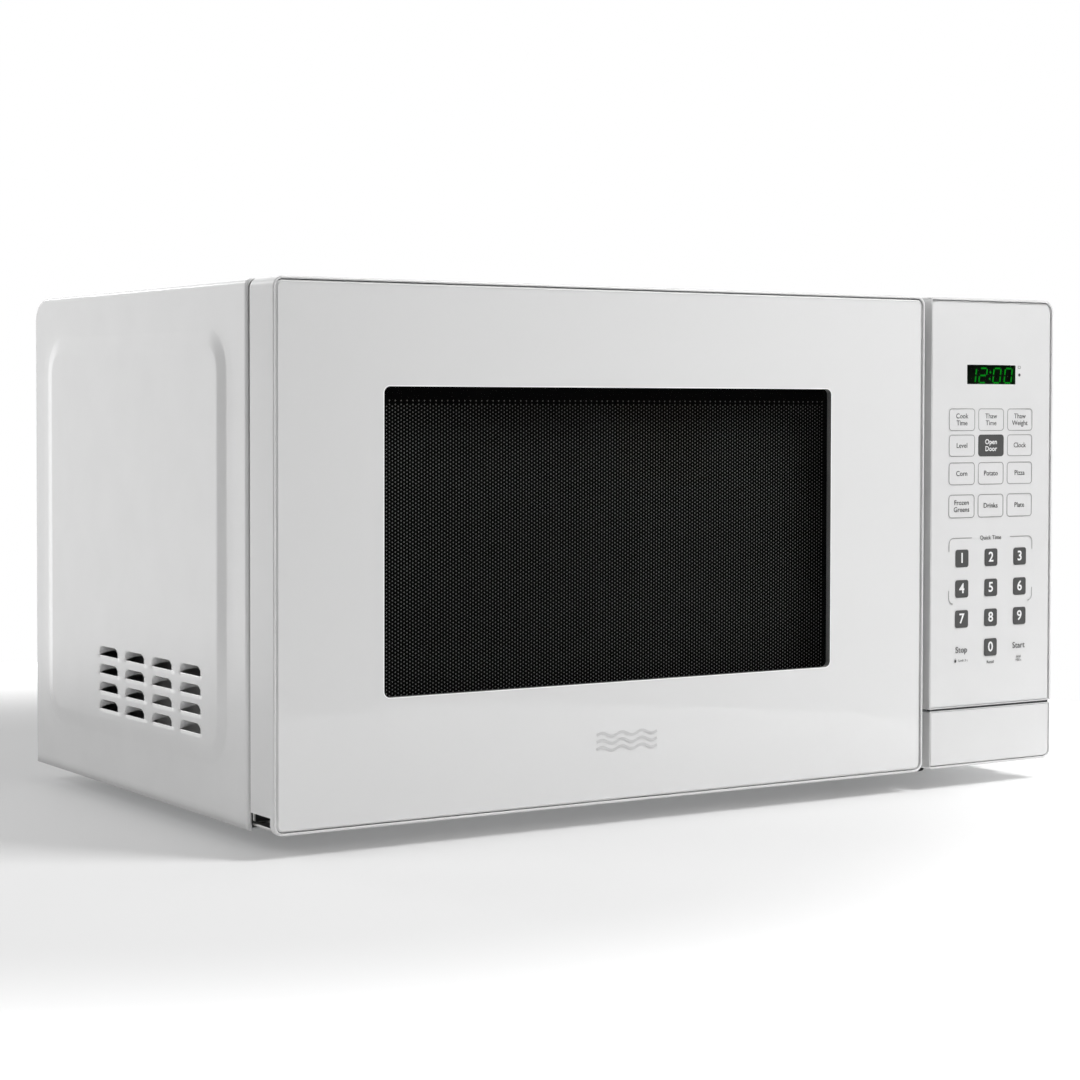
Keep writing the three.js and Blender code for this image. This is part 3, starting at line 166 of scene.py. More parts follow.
INK_WHITE = surface("ink_white", grey(0.86), 0.4)
INK_MARK = surface("ink_mark", grey(0.60), 0.3)
# Painted highlight: a near-white line round the window stands in for the glint on the glass edge.
WINDOW_HIGHLIGHT = surface("painted_window_highlight", grey(0.95), 0.3)
GLOW = surface("green_segments", (0.0, 0.05, 0.0), 0.4, Emission_Color=(0.0, 0.62, 0.02, 1),
               Emission_Strength=1.5)


# ------------------------------------------------------------------ mesh helpers
SMALLEST_RADIUS = 0.15


def piece(name, points, faces, finish, body, slot, replaces=(), sharp=SHARP_ANGLE, recalculate=True):
    """A new mesh, from points in millimetres, that rides on a body."""
    mesh = bpy.data.meshes.new(name)
    mesh.from_pydata([[c * MM for c in p] for p in points], [], faces)
    made = bmesh.new()
    made.from_mesh(mesh)
    if recalculate:
        bmesh.ops.recalc_face_normals(made, faces=made.faces)
    made.to_mesh(mesh)
    made.free()
    mesh.shade_smooth()
    mesh.set_sharp_from_angle(angle=math.radians(sharp))
    mesh.materials.append(finish)
    obj = bpy.data.objects.new(name, mesh)
    flat_faces(obj)
    scene.collection.objects.link(obj)
    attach(obj, body)
    if replaces:
        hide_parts(*replaces)
    return obj


def flat_faces(obj):
    """Keeps large faces flat where they meet rounded edges."""
    weigh = obj.modifiers.new("normals", "WEIGHTED_NORMAL")
    weigh.keep_sharp = True


def merged(*parts):
    """Several (points, faces) as one."""
    points, faces = [], []
    for more_points, more_faces in parts:
        start = len(points)
        points += list(more_points)
        faces += [tuple(i + start for i in face) for face in more_faces]
    return points, faces


def skin(loops, closed=False, caps=True):
    """Faces between loops of equally many points; the end loops close on each other or are capped."""
    count = len(loops[0])
    points = [p for loop in loops for p in loop]
    pairs = [(a, a + 1) for a in range(len(loops) - 1)]
    if closed:
        pairs.append((len(loops) - 1, 0))
    faces = [
        (a * count + i, a * count + (i + 1) % count, b * count + (i + 1) % count, b * count + i)
        for a, b in pairs for i in range(count)
    ]
    if caps and not closed:
        last = (len(loops) - 1) * count
        faces.append(tuple(reversed(range(count))))
        faces.append(tuple(range(last, last + count)))
    return points, faces


def rounded_loop(x, z, radii, steps=8):
    """(x, z) points round a rectangle, with radii for lower right, upper right, upper left, lower left."""
    centres = ((x[1], z[0], -1, 1), (x[1], z[1], -1, -1), (x[0], z[1], 1, -1), (x[0], z[0], 1, 1))
    loop = []
    for quarter, (cx, cz, inward, upward) in enumerate(centres):
        radius = radii[quarter]
        for step in range(steps + 1):
            angle = PI / 2 * (quarter - 1 + step / steps)
            loop.append((cx + radius * (inward + math.cos(angle)), cz + radius * (upward + math.sin(angle))))
    return loop


def front_loop(x, z, radii, inset, y, shares=(1, 1, 1, 1)):
    """A front-facing loop inset from a rounded rectangle; the inset's shares go left, right, bottom, top."""
    left, right, bottom, top = (inset * share for share in shares)
    shrunk = [max(radius - inset, SMALLEST_RADIUS) for radius in radii]
    loop = rounded_loop((x[0] + left, x[1] - right), (z[0] + bottom, z[1] - top), shrunk)
    return [(px, y, pz) for px, pz in loop]


def softened(path, steps=3):
    """A path's points, with each corner (a, b, radius) turned into a curve that starts radius before it."""
    points = []
    for index, (a, b, radius) in enumerate(path):
        here = Vector((a, b))
        if radius == 0:
            points.append((a, b))
            continue
        before = Vector(path[index - 1][:2])
        after = Vector(path[(index + 1) % len(path)][:2])
        start = here + (before - here).normalized() * radius
        end = here + (after - here).normalized() * radius
        for step in range(steps + 1):
            t = step / steps
            spot = start * (1 - t) ** 2 + here * 2 * t * (1 - t) + end * t * t
            points.append((spot.x, spot.y))
    return points


def lathe(profile, centre, axis="z", sides=64, closed=False):
    """A profile of (radius, height) turned about an axis through centre; an open one ends on the axis."""
    loops = []
    for radius, height in profile:
        loop = []
        for side in range(sides):
            angle = 2 * PI * side / sides
            u, v = radius * math.cos(angle), radius * math.sin(angle)
            offset = {"z": (u, v, height), "y": (u, height, v), "x": (height, u, v)}[axis]
            loop.append(tuple(c + o for c, o in zip(centre, offset)))
        loops.append(loop)
    return skin(loops, closed=closed)


def block(low, high):
    """A box's points and faces."""
    points = [(x, y, z) for z in (low[2], high[2]) for y in (low[1], high[1]) for x in (low[0], high[0])]
    faces = [(0, 1, 3, 2), (4, 6, 7, 5), (0, 4, 5, 1), (2, 3, 7, 6), (0, 2, 6, 4), (1, 5, 7, 3)]
    return points, faces


def carve(obj, *tools):
    """Cuts (points, faces) solids out of a piece."""
    points, faces = merged(*tools)
    cutter_mesh = bpy.data.meshes.new("cutter")
    cutter_mesh.from_pydata([[c * MM for c in p] for p in points], [], faces)
    shape = bmesh.new()
    shape.from_mesh(cutter_mesh)
    bmesh.ops.recalc_face_normals(shape, faces=shape.faces)
    shape.to_mesh(cutter_mesh)
    shape.free()
    cutter = bpy.data.objects.new("cutter", cutter_mesh)
    scene.collection.objects.link(cutter)
    cut = obj.modifiers.new("cut", "BOOLEAN")
    cut.operation = "DIFFERENCE"
    cut.solver = "EXACT"
    cut.object = cutter
    bpy.context.view_layer.update()
    carved = bpy.data.meshes.new_from_object(obj.evaluated_get(bpy.context.evaluated_depsgraph_get()))
    obj.modifiers.clear()
    obj.data = carved
    carved.set_sharp_from_angle(angle=math.radians(SHARP_ANGLE))
    flat_faces(obj)
    bpy.data.objects.remove(cutter)


def rounded_edges(obj, width, segments, angle):
    """Rounds a piece's edges by a modifier."""
    bevel = obj.modifiers.new("edges", "BEVEL")
    bevel.width = width * MM
    bevel.segments = segments
    bevel.limit_method = "ANGLE"
    bevel.angle_limit = math.radians(angle)
    bevel.harden_normals = False


# ------------------------------------------------------------------ cabinet wrap
CAD_PRESS_RISE = 1.5
WRAP_FACE = WRAP_HIGH.x - CAD_PRESS_RISE
WRAP_TOP = WRAP_HIGH.z
WRAP_BEND = 3.0
REAR_BEND = 12.0
STEEL_SHEET = 0.8
EDGE_LEAN = 1.6
PRESS_Y = (FRONT + 43.6, FRONT + 277.0)
PRESS_Z = (28.0, 245.0)
PRESS_CORNER = 27.0
PRESS_RISE = 1.45
PRESS_FOOT = 6.9
PRESS_FOOT_RISE = 0.18
PRESS_SLOPE = 8.5
PRESS_CREST = 0.12
LOUVRE_Y = FRONT + 76.6
LOUVRE_Z = 48.35
LOUVRE_WIDTH = 23.4
LOUVRE_HEIGHT = 4.8
LOUVRE_PITCH_Y = 32.7
LOUVRE_PITCH_Z = 9.03
LOUVRE_DEPTH = 5.5
LOUVRE_LIFT = 2.3
LOUVRE_COUNT = 4
ENDS_POWER = 5
ARCH_POWER = 7
ARCH_ROOT = 0.6
SCOOP_POWER = 1.6
TINY = 1e-6

# steps of the sheet's grid, and where its fine parts start and end
GRID_PLAIN = 6
GRID_SLOPE = 1.3
GRID_BORDER = 5
GRID_BEND = 3
GRID_TOP = 23
GRID_LOW_LEFT = 1.2
GRID_LOUVRE = 0.48
GRID_FRONT_SLOPE = 1.1
GRID_MIDDLE = 8
BETWEEN_ROWS = 2.1
BETWEEN_COLUMNS = 4.7
BEFORE_LOUVRES = 2
ACROSS_LOUVRE = 20
MARGIN = 1
SLOPES_Y = (PRESS_Y[0] + 22, PRESS_Y[1] - 27)
SLOPES_Z = (PRESS_Z[0] + 22, PRESS_Z[1] - 24)
LEFT_SLOPE_Z = PRESS_Z[1] - 26
BEND_STEPS = 6
REAR_BEND_STEPS = 8


def smooth(t):
    """An even ease from 0 to 1."""
    t = max(0.0, min(1.0, t))
    return t * t * (3 - 2 * t)


def lines(start, *stops):
    """Positions from start through each stop (end, step)."""
    made = [start]
    for end, step in stops:
        count = max(1, round((end - made[-1]) / step))
        begin = made[-1]
        made += [begin + (end - begin) * (i + 1) / count for i in range(count)]
    return made


def pressing(y, z):
    """How far the pressed panel stands out of a side at a place."""
    half_y = (PRESS_Y[1] - PRESS_Y[0]) / 2
    half_z = (PRESS_Z[1] - PRESS_Z[0]) / 2
    away_y = abs(y - sum(PRESS_Y) / 2) - half_y + PRESS_CORNER
    away_z = abs(z - sum(PRESS_Z) / 2) - half_z + PRESS_CORNER
    outside = math.hypot(max(away_y, 0), max(away_z, 0)) + min(max(away_y, away_z), 0) - PRESS_CORNER
    foot = PRESS_FOOT_RISE * smooth(-outside / PRESS_FOOT)
    eased = max(0.0, min(1.0, (-outside - PRESS_FOOT) / PRESS_SLOPE))
    if eased > 1 - PRESS_CREST:
        eased = 1 - (1 - eased) ** 2 / (2 * PRESS_CREST) - PRESS_CREST / 2
    return foot + (PRESS_RISE - PRESS_FOOT_RISE) * eased / (1 - PRESS_CREST / 2)


def louvre(y, z):
    """How far a louvre is pushed in and lifted at a place, or None outside one."""
    column = math.floor((y - LOUVRE_Y + TINY) / LOUVRE_PITCH_Y)
    row = math.floor((z - LOUVRE_Z + TINY) / LOUVRE_PITCH_Z)
    if not (0 <= column < LOUVRE_COUNT and 0 <= row < LOUVRE_COUNT):
        return None
    u = (y - LOUVRE_Y - column * LOUVRE_PITCH_Y) / LOUVRE_WIDTH
    t = (z - LOUVRE_Z - row * LOUVRE_PITCH_Z) / LOUVRE_HEIGHT
    if u > 1 + TINY or t > 1 + TINY:
        return None
    t = max(t, 0.0)
    across = max(0.0, 1 - abs(2 * u - 1) ** ENDS_POWER)
    arch = max(0.0, 1 - abs(2 * u - 1) ** ARCH_POWER) ** ARCH_ROOT
    if arch <= 0 or t >= arch:
        return 0.0, 0.0
    up = 1 - (t / arch) ** SCOOP_POWER
    return LOUVRE_DEPTH * across * up, LOUVRE_LIFT * across * (1 - t / arch)


def wrap_top(y):
    """The height of the top at a place along the depth; the rear edge is rounded."""
    into = y - (WRAP_HIGH.y - REAR_BEND)
    if into <= 0:
        return WRAP_TOP
    return WRAP_TOP - REAR_BEND + math.sqrt(max(0.0, REAR_BEND ** 2 - into ** 2))


def top_bend(centre_x, start):
    """The inner points of a top bend: a quarter turn clockwise from an angle."""
    made = []
    for step in range(1, BEND_STEPS):
        angle = start - PI / 2 * step / BEND_STEPS
        c, s = math.cos(angle), math.sin(angle)
        made.append((centre_x + WRAP_BEND * c, WRAP_TOP - WRAP_BEND * (1 - s), c, s, False))
    return made


def wrap_path():
    """The sheet's outline, from the left foot over the top: (x, z, normal x, normal z, slot)."""
    foot = (PRESS_Z[0] - MARGIN, GRID_PLAIN)
    above = ((PRESS_Z[1] + MARGIN, GRID_SLOPE), (WRAP_TOP - REAR_BEND, GRID_BORDER),
             (WRAP_TOP - WRAP_BEND, GRID_BEND))
    left = lines(WRAP_LOW.z, foot, (LOUVRE_Z - BEFORE_LOUVRES, GRID_LOW_LEFT), (LOUVRE_Z, BEFORE_LOUVRES))
    slots = []
    for row in range(LOUVRE_COUNT):
        slots.append(len(left) - 1)
        start = LOUVRE_Z + row * LOUVRE_PITCH_Z
        left += lines(start, (start + LOUVRE_HEIGHT, GRID_LOUVRE), (start + LOUVRE_PITCH_Z, BETWEEN_ROWS))[1:]
    left += lines(left[-1], (LEFT_SLOPE_Z, GRID_PLAIN), *above)[1:]
    right = lines(WRAP_LOW.z, foot, (SLOPES_Z[0], GRID_SLOPE), (SLOPES_Z[1], GRID_MIDDLE), *above)
    bend_x = WRAP_FACE - WRAP_BEND
    path = [(-WRAP_FACE, z, -1.0, 0.0, index in slots) for index, z in enumerate(left)]
    path += top_bend(-bend_x, PI)
    path += [(x, WRAP_TOP, 0.0, 1.0, False) for x in lines(-bend_x, (bend_x, GRID_TOP))]
    path += top_bend(bend_x, PI / 2)
    path += [(WRAP_FACE, z, 1.0, 0.0, False) for z in reversed(right)]
    return path


def wrap_depths():
    """The grid's positions along the depth, front to back."""
    stops = [(PRESS_Y[0] - MARGIN, GRID_BORDER), (SLOPES_Y[0], GRID_FRONT_SLOPE), (LOUVRE_Y, BEFORE_LOUVRES)]
    for column in range(LOUVRE_COUNT):
        start = LOUVRE_Y + column * LOUVRE_PITCH_Y
        stops.append((start + LOUVRE_WIDTH, LOUVRE_WIDTH / ACROSS_LOUVRE))
        if column < LOUVRE_COUNT - 1:
            stops.append((start + LOUVRE_PITCH_Y, BETWEEN_COLUMNS))
    rear = WRAP_HIGH.y - REAR_BEND
    depths = lines(WRAP_LOW.y, *stops, (SLOPES_Y[1], GRID_PLAIN), (rear, GRID_SLOPE))
    turns = [PI / 2 * (step + 1) / REAR_BEND_STEPS for step in range(REAR_BEND_STEPS)]
    return depths + [WRAP_HIGH.y - REAR_BEND * (1 - math.sin(turn)) for turn in turns]


def outer_wrap():
    """The whole sheet as a grid, with the pressing and the louvres pushed out of it or into it."""
    path, depths = wrap_path(), wrap_depths()
    points, index = [], {}

    def vertex(i, j, above):
        x, z, nx, nz, slot = path[i]
        y = depths[j]
        lowered = WRAP_TOP - wrap_top(y)
        base = WRAP_TOP - REAR_BEND
        if z > base:
            z -= lowered * (z - base) / REAR_BEND
        out = 0.0
        if nz == 0.0:
            out = pressing(y, z)
        if j == 0:
            y += EDGE_LEAN * (z - WRAP_LOW.z) / (WRAP_TOP - WRAP_LOW.z)
        scoop = louvre(y, z) if nx == -1.0 and (above or not slot) else None
        if scoop:
            depth, lift = scoop
            out -= depth
            z += lift
        key = (i, j, bool(scoop) and slot and scoop[0] > TINY)
        if key not in index:
            index[key] = len(points)
            points.append((x + nx * out, y, z + nz * out))
        return index[key]

    faces = []
    for i in range(len(path) - 1):
        for j in range(len(depths) - 1):
            near, far = vertex(i, j, True), vertex(i, j + 1, True)
            faces.append((near, far, vertex(i + 1, j + 1, False), vertex(i + 1, j, False)))
    return points, faces


wrap = piece("cabinet_wrap", *outer_wrap(), PAINT, "cabinet", "white_paint", ["outer_wrap"])
thicken = wrap.modifiers.new("sheet", "SOLIDIFY")
thicken.thickness = STEEL_SHEET * MM
thicken.offset = -1
thicken.use_even_offset = False


# ------------------------------------------------------------------ door
DOOR_X = (DOOR_LOW.x, DOOR_HIGH.x)
DOOR_Z = (DOOR_LOW.z, DOOR_HIGH.z)
DOOR_RADII = (DOOR_CORNER,) * 4
GROOVE = 0.4
GLASS_INSET = RIM + GROOVE
GLASS_X = (DOOR_LOW.x + GLASS_INSET, DOOR_HIGH.x - GLASS_INSET)
GLASS_Z = (DOOR_LOW.z + GLASS_INSET, DOOR_HIGH.z - GLASS_INSET)
GLASS_RADII = (DOOR_CORNER - GLASS_INSET,) * 4
GLASS_Y = (GLASS_LOW.y, GLASS_HIGH.y)
GLASS_BEVEL = 0.9
PANE_BEVEL = 0.02
BEHIND = 0.3
GLASS_REST = GLASS_HIGH.y + BEHIND
NOTCH_HEIGHT = 8
NOTCH_DEPTH = 3.6
NOTCH_WIDTH = 10.8


def door_frame():
    """The moulding round the glass: a thin rim in front, a shelf under the glass and a wall behind."""
    back = DOOR_HIGH.y
    shelf, ledge, wall = 9.0, 2.4, 2.5
    outline = [
        (0, back, 0.4), (0, FRONT, 0.6), (RIM, FRONT, 0.35), (RIM, GLASS_REST, 0),
        (shelf, GLASS_REST, 0), (shelf, GLASS_REST + ledge, 0.5), (wall, GLASS_REST + ledge, 0.5),
        (wall, back, 0.3),
    ]
    loops = [front_loop(DOOR_X, DOOR_Z, DOOR_RADII, inset, y) for inset, y in softened(outline)]
    return skin(loops, closed=True)


def glass_ring(x, z, radii, y, edge, hole_x, hole_z, hole_radii):
    """A plate with bevelled edges and a window."""
    outline = softened([(0, y[1], 0), (0, y[0] + edge, 0.2), (edge * 1.2, y[0], 0.3)])
    loops = [front_loop(x, z, radii, inset, depth) for inset, depth in outline]
    loops += [front_loop(hole_x, hole_z, hole_radii, 0, depth) for depth in y]
    return skin(loops, closed=True)


def slab(x, z, radii, y, edge):
    """A plate with its front edges rounded."""
    outline = [(0, y[1]), (0, y[0] + edge), (edge * 0.3, y[0] + edge * 0.3), (edge, y[0])]
    return skin([front_loop(x, z, radii, inset, depth) for inset, depth in outline])


def door_seal():
    """A thin dark lip round the back edge of the door: painted shade that darkens the gap between door and
    cabinet.
    """
    sunk, proud = DOOR_HIGH.y - 0.2, DOOR_HIGH.y + 1.2
    outer, inner = 0.5, 1.6
    outline = softened([(outer, sunk, 0), (outer, proud, 0.3), (inner, proud, 0.3), (inner, sunk, 0)])
    return skin([front_loop(DOOR_X, DOOR_Z, DOOR_RADII, inset, y) for inset, y in outline], closed=True)


door = piece("door_surround", *door_frame(), WHITE, "door", "white_plastic", ["door_frame"])
piece("door_glass_print",
      *glass_ring(GLASS_X, GLASS_Z, GLASS_RADII, GLASS_Y, GLASS_BEVEL, WINDOW_X, WINDOW_Z, WINDOW_RADII),
      PRINT, "door", "printed_glass", ["door_glass"])
piece("door_window_pane", *slab(WINDOW_X, WINDOW_Z, WINDOW_RADII, GLASS_Y, PANE_BEVEL),
      SMOKED, "door", "smoked_window")
# Painted shade: a dark lip stands in for the shadow in the gap between door and cabinet.
gap_shade = piece("door_gap_shade", *door_seal(), DARK, "door", "black_plastic")
hinge_notch = block((DOOR_LOW.x - 1, FRONT + NOTCH_DEPTH, DOOR_LOW.z - 1),
                    (DOOR_LOW.x + NOTCH_WIDTH, DOOR_HIGH.y + 2, DOOR_LOW.z + NOTCH_HEIGHT))
for cut_piece in (door, gap_shade):
    carve(cut_piece, hinge_notch)


# ---- the perforated screen
HOLE_PITCH = 1.8
HOLE_RADIUS = 0.41
HOLES_X = (-188.0, 89.1)
HOLES_Z = (64.0, 205.0)
BLANK = 2
LIP = 1.6
SHEET_Y = corners("inner_window")[0].y - 0.1


def perforated_sheet(y):
    """A flat sheet of hexagonal cells with a hole in each, inside a border of blank cells."""
    column_step = HOLE_PITCH * math.sqrt(3) / 2
    cell = HOLE_PITCH / math.sqrt(3)
    points, faces, shared = [], [], {}

    def corner(x, z):
        key = (round(x * 20), round(z * 20))
        if key not in shared:
            shared[key] = len(points)
            points.append((x, y, z))
        return shared[key]

    directions = [(math.cos(PI / 3 * k), math.sin(PI / 3 * k)) for k in range(6)]
    columns = int((HOLES_X[1] - HOLES_X[0]) / column_step)
    rows = int((HOLES_Z[1] - HOLES_Z[0]) / HOLE_PITCH)
    for column in range(-BLANK, columns + BLANK):
        x = HOLES_X[1] - column * column_step
        top = HOLES_Z[1] - (HOLE_PITCH / 2 if column % 2 else 0)
        for row in range(-BLANK, rows + BLANK):
            z = top - row * HOLE_PITCH
            outer = [corner(x + cell * c, z + cell * s) for c, s in directions]
            if not (0 <= column < columns and (column % 2) <= row < rows):
                faces.append(tuple(outer))
                continue
            start = len(points)
            points.extend((x + HOLE_RADIUS * c, y, z + HOLE_RADIUS * s) for c, s in directions)
            for k in range(6):
                following = (k + 1) % 6
                faces.append((outer[k], outer[following], start + following, start + k))
    return points, faces


def screen_frame():
    """The pressed steel round the perforated sheet, with the walls of the choke channel."""
    front, back = SCREEN_LOW.y, SCREEN_HIGH.y
    steel = 1.2
    outer = ((SCREEN_LOW.x, SCREEN_HIGH.x), (SCREEN_LOW.z, SCREEN_HIGH.z), (4.0,) * 4)
    hole = ((HOLES_X[0] - LIP, HOLES_X[1] + LIP), (HOLES_Z[0] + LIP / 2, HOLES_Z[1] + LIP), (2.0,) * 4)
    before, touching, after = SHEET_Y - 0.15, SHEET_Y - 0.02, SHEET_Y + 0.05
    inside = front + 0.2
    outline = [
        (outer, 0, back), (outer, 0, front + steel), (outer, steel / 3, front + steel / 3),
        (outer, steel, front),
        (hole, -9, front), (hole, -6, before), (hole, 0, before), (hole, 0, touching),
        (hole, -2, after), (hole, -6.2, after), (hole, -9.2, inside),
        (outer, steel + 0.1, inside), (outer, steel + 0.1, back),
    ]
    return skin([front_loop(*ring, inset, y) for ring, inset, y in outline], closed=True)


piece("door_screen", *perforated_sheet(SHEET_Y), BLACK, "door", "black_paint", recalculate=False)
piece("door_inner_panel", *screen_frame(), BLACK, "door", "black_paint", ["door_panel"])


# ------------------------------------------------------------------ control panel
PANEL_X = (FRAME_LOW.x, FRAME_HIGH.x)
PANEL_Z = (BAR_HIGH.z + 0.8, FRAME_HIGH.z)
BAR_TOP = BAR_HIGH.z - 0.25
PANEL_RADII = (0.6, 6.5, 1.2, 0.6)
PANEL_SHARES = (0.4, 1, 0.5, 1)
FILM_INSET = RIM + 0.75
BAR_SHARES = (0.6, 1, 1, 0.35)
LENS_X = (LENS_LOW.x, LENS_HIGH.x)
LENS_Z = (LENS_LOW.z, LENS_HIGH.z)
LENS_RADII = (0.3,) * 4
LENS_BEVEL = 0.03
FILM_BEVEL = 0.15
MOULDING = 3.2


def panel_surround():
    """The moulding round the keypad film, with an opening for the display and a pan behind the bar."""
    rest, floor_y, back = FILM_HIGH.y + BEHIND, FRONT + MOULDING, FRAME_HIGH.y
    wall = 2.0
    outline = [(0, back, 0.3), (0, FRONT, 0.6), (RIM, FRONT, 0.3), (RIM, rest, 0)]
    ring = (PANEL_X, PANEL_Z, PANEL_RADII)
    loops = [front_loop(*ring, inset, y, PANEL_SHARES) for inset, y in softened(outline)]
    loops += [front_loop(LENS_X, LENS_Z, LENS_RADII, -1, y) for y in (rest, floor_y)]
    loops += [front_loop(*ring, wall, y) for y in (floor_y, back)]
    pan = slab((PANEL_X[0] + 4, PANEL_X[1] - 3), (15.0, PANEL_Z[0] + 0.5), (wall,) * 4, (FRONT + 16, back), 1.0)
    return merged(skin(loops, closed=True), pan)


def push_bar():
    """The hollow bar with a groove inside its rim, and the stem that its spring sits on."""
    x = (BAR_LOW.x, BAR_HIGH.x)
    z = (BAR_LOW.z, BAR_TOP)
    radii = (DOOR_CORNER, 1.2, 1.2, 2.0)
    depth, wall, groove, groove_depth, face = 10.0, 1.8, 0.6, 1.3, 0.1
    outline = softened([
        (wall, FRONT + 2, 0), (wall, FRONT + depth, 0.2), (0, FRONT + depth, 0.3), (0, FRONT, 0.7),
        (RIM, FRONT, 0.25), (RIM, FRONT + groove_depth, 0), (RIM + groove, FRONT + groove_depth, 0),
        (RIM + groove, FRONT + face, 0.15), (RIM + groove + 1, FRONT + face, 0),
    ])
    shell = skin([front_loop(x, z, radii, inset, y, BAR_SHARES) for inset, y in outline])
    stem_x, _, stem_z = centre_of("button_spring")
    collar, pin, tip = 3.6, 1.5, BAR_HIGH.y - FRONT - 2
    stem = lathe([(collar, 0), (collar, 20.0), (collar - 0.4, 20.4), (pin, 20.5), (pin, tip - 0.4),
                  (pin - 0.4, tip)], (stem_x, FRONT + 2, stem_z), "y", 24)
    return merged(shell, stem)


piece("panel_surround", *panel_surround(), WHITE, "cabinet", "white_plastic", ["panel_frame"])
piece("push_bar", *push_bar(), WHITE, "button", "white_plastic", ["release_button"])
film_x = (PANEL_X[0] + FILM_INSET * PANEL_SHARES[0], PANEL_X[1] - FILM_INSET)
film_z = (PANEL_Z[0] + FILM_INSET * PANEL_SHARES[2], PANEL_Z[1] - FILM_INSET)
film_radii = (0.4, PANEL_RADII[1] - FILM_INSET, 0.6, 0.4)
piece("key_film",
      *glass_ring(film_x, film_z, film_radii, (FILM_LOW.y, FILM_HIGH.y), FILM_BEVEL,
                  LENS_X, LENS_Z, LENS_RADII),
      FILM, "cabinet", "keypad_film", ["panel_overlay"])
piece("display_lens", *slab(LENS_X, LENS_Z, LENS_RADII, (LENS_LOW.y, LENS_HIGH.y), LENS_BEVEL),
      LENS, "cabinet", "smoked_window", ["display_window"])
# Painted shade: a dark slab behind the gap between bar and panel stands in for the shadow there.
piece("bar_gap_shade",
      *block((PANEL_X[0] + 1, FRONT + 0.7, BAR_TOP + 0.08), (PANEL_X[1] - 1.4, FRONT + 3, PANEL_Z[0])),
      DARK, "cabinet", "black_plastic")

# ------------------------------------------------------------------ printing on the film
INK_THICK = 0.05
INK_FACE = FILM_LOW.y - INK_THICK
LINE = 0.38
DOT_CENTRE = 0.001
PAD_RADIUS = 1.8
FRAME_RADIUS = 2.0


def printed(parts, name, finish, body="cabinet", slot="keypad_film"):
    """Printed marks, or a painted highlight line, as one piece."""
    return piece(name, *merged(*parts), finish, body, slot, sharp=60)


def outline_mark(x, z, radius, width=LINE, y=INK_FACE):
    """A thin printed frame; round the window it is a painted highlight line instead."""
    radii = (radius,) * 4
    back = y + INK_THICK
    return skin([
        front_loop(x, z, radii, 0, back), front_loop(x, z, radii, 0, y),
        front_loop(x, z, radii, width, y), front_loop(x, z, radii, width, back),
    ], closed=True)


def pad_mark(x, z, radius, y=INK_FACE):
    """A filled printed rectangle."""
    radii = (radius,) * 4
    return skin([front_loop(x, z, radii, 0, y + INK_THICK), front_loop(x, z, radii, 0, y)])


def dot_mark(x, z, radius, sides, y=INK_FACE):
    """A printed dot."""
    profile = [(DOT_CENTRE, 0), (radius, 0), (radius, INK_THICK), (DOT_CENTRE, INK_THICK)]
    return lathe(profile, (x, y, z), "y", sides)


def around(centre, size):
    """A range of some size about its centre."""
    return centre - size / 2, centre + size / 2


def lettering(words, x, z, size, y=INK_FACE, bold=0.0, spacing=0.98):
    """Words printed on the front, centred on a place: points and faces."""
    curve = bpy.data.curves.new("words", "FONT")
    curve.body = words
    curve.size = size
    curve.align_x = "CENTER"
    curve.align_y = "CENTER"
    curve.space_line = spacing
    curve.offset = bold
    curve.resolution_u = 3
    curve.extrude = INK_THICK / 2
    obj = bpy.data.objects.new("words", curve)
    scene.collection.objects.link(obj)
    bpy.context.view_layer.update()
    mesh = bpy.data.meshes.new_from_object(obj.evaluated_get(bpy.context.evaluated_depsgraph_get()))
    points = [(x + v.co.x, y + INK_THICK / 2 - v.co.z, z + v.co.y) for v in mesh.vertices]
    faces = [tuple(p.vertices) for p in mesh.polygons]
    bpy.data.objects.remove(obj)
    bpy.data.curves.remove(curve)
    bpy.data.meshes.remove(mesh)
    return points, faces


COLUMNS = ((160.6, 178.8), (181.2, 199.4), (201.9, 220.1))
ROWS = ((189.8, 201.7), (176.2, 187.8), (161.2, 173.1), (143.7, 156.1))
CAPTIONS = (
    ("Cook\nTime", "Thaw\nTime", "Thaw\nWeight"),
    ("Level", "Open\nDoor", "Clock"),
    ("Corn", "Potato", "Pizza"),
    ("Frozen\nGreens", "Drinks", "Plate"),
)
FILLED_KEY = (1, 1)
CAPTION_SIZE = 3.75
OVER_PAD = INK_FACE - INK_THICK

frames, captions, pads, light_words = [], [], [], []
for row, z in enumerate(ROWS):
    for column, x in enumerate(COLUMNS):
        caption = (CAPTIONS[row][column], sum(x) / 2, sum(z) / 2, CAPTION_SIZE)
        if (row, column) == FILLED_KEY:
            pads.append(pad_mark(x, z, PAD_RADIUS))
            light_words.append(lettering(*caption, OVER_PAD, 0.05))
        else:
            frames.append(outline_mark(x, z, FRAME_RADIUS))
            captions.append(lettering(*caption))

NUMBER_X = (170.25, 190.9, 211.6)
NUMBER_Z = (122.25, 106.1, 90.1)
ZERO_Z = 74.15
NUMBER_SIZE = 7.4
NUMBER_BOLD = 0.12
NUMBER_PAD = (9.15, 9.3)
NUMBER_PAD_RADIUS = 1.3
places = [(x, z) for z in NUMBER_Z for x in NUMBER_X]
keys = [(str(digit), *place) for digit, place in enumerate(places, 1)]
keys.append(("0", NUMBER_X[1], ZERO_Z))
for digit, x, z in keys:
    pads.append(pad_mark(around(x, NUMBER_PAD[0]), around(z, NUMBER_PAD[1]), NUMBER_PAD_RADIUS))
    light_words.append(lettering(digit, x, z, NUMBER_SIZE, OVER_PAD, NUMBER_BOLD))

BRACKET_X = (161.1, 220.5)
BRACKET_Z = (98.3, 133.0)
BRACKET_LEG = 7.0
BRACKET_RUN = 16.0
BRACKET_SHORT_RUN = 2.0
BRACKET_RADIUS = 3.0
BRACKET_STEPS = 6


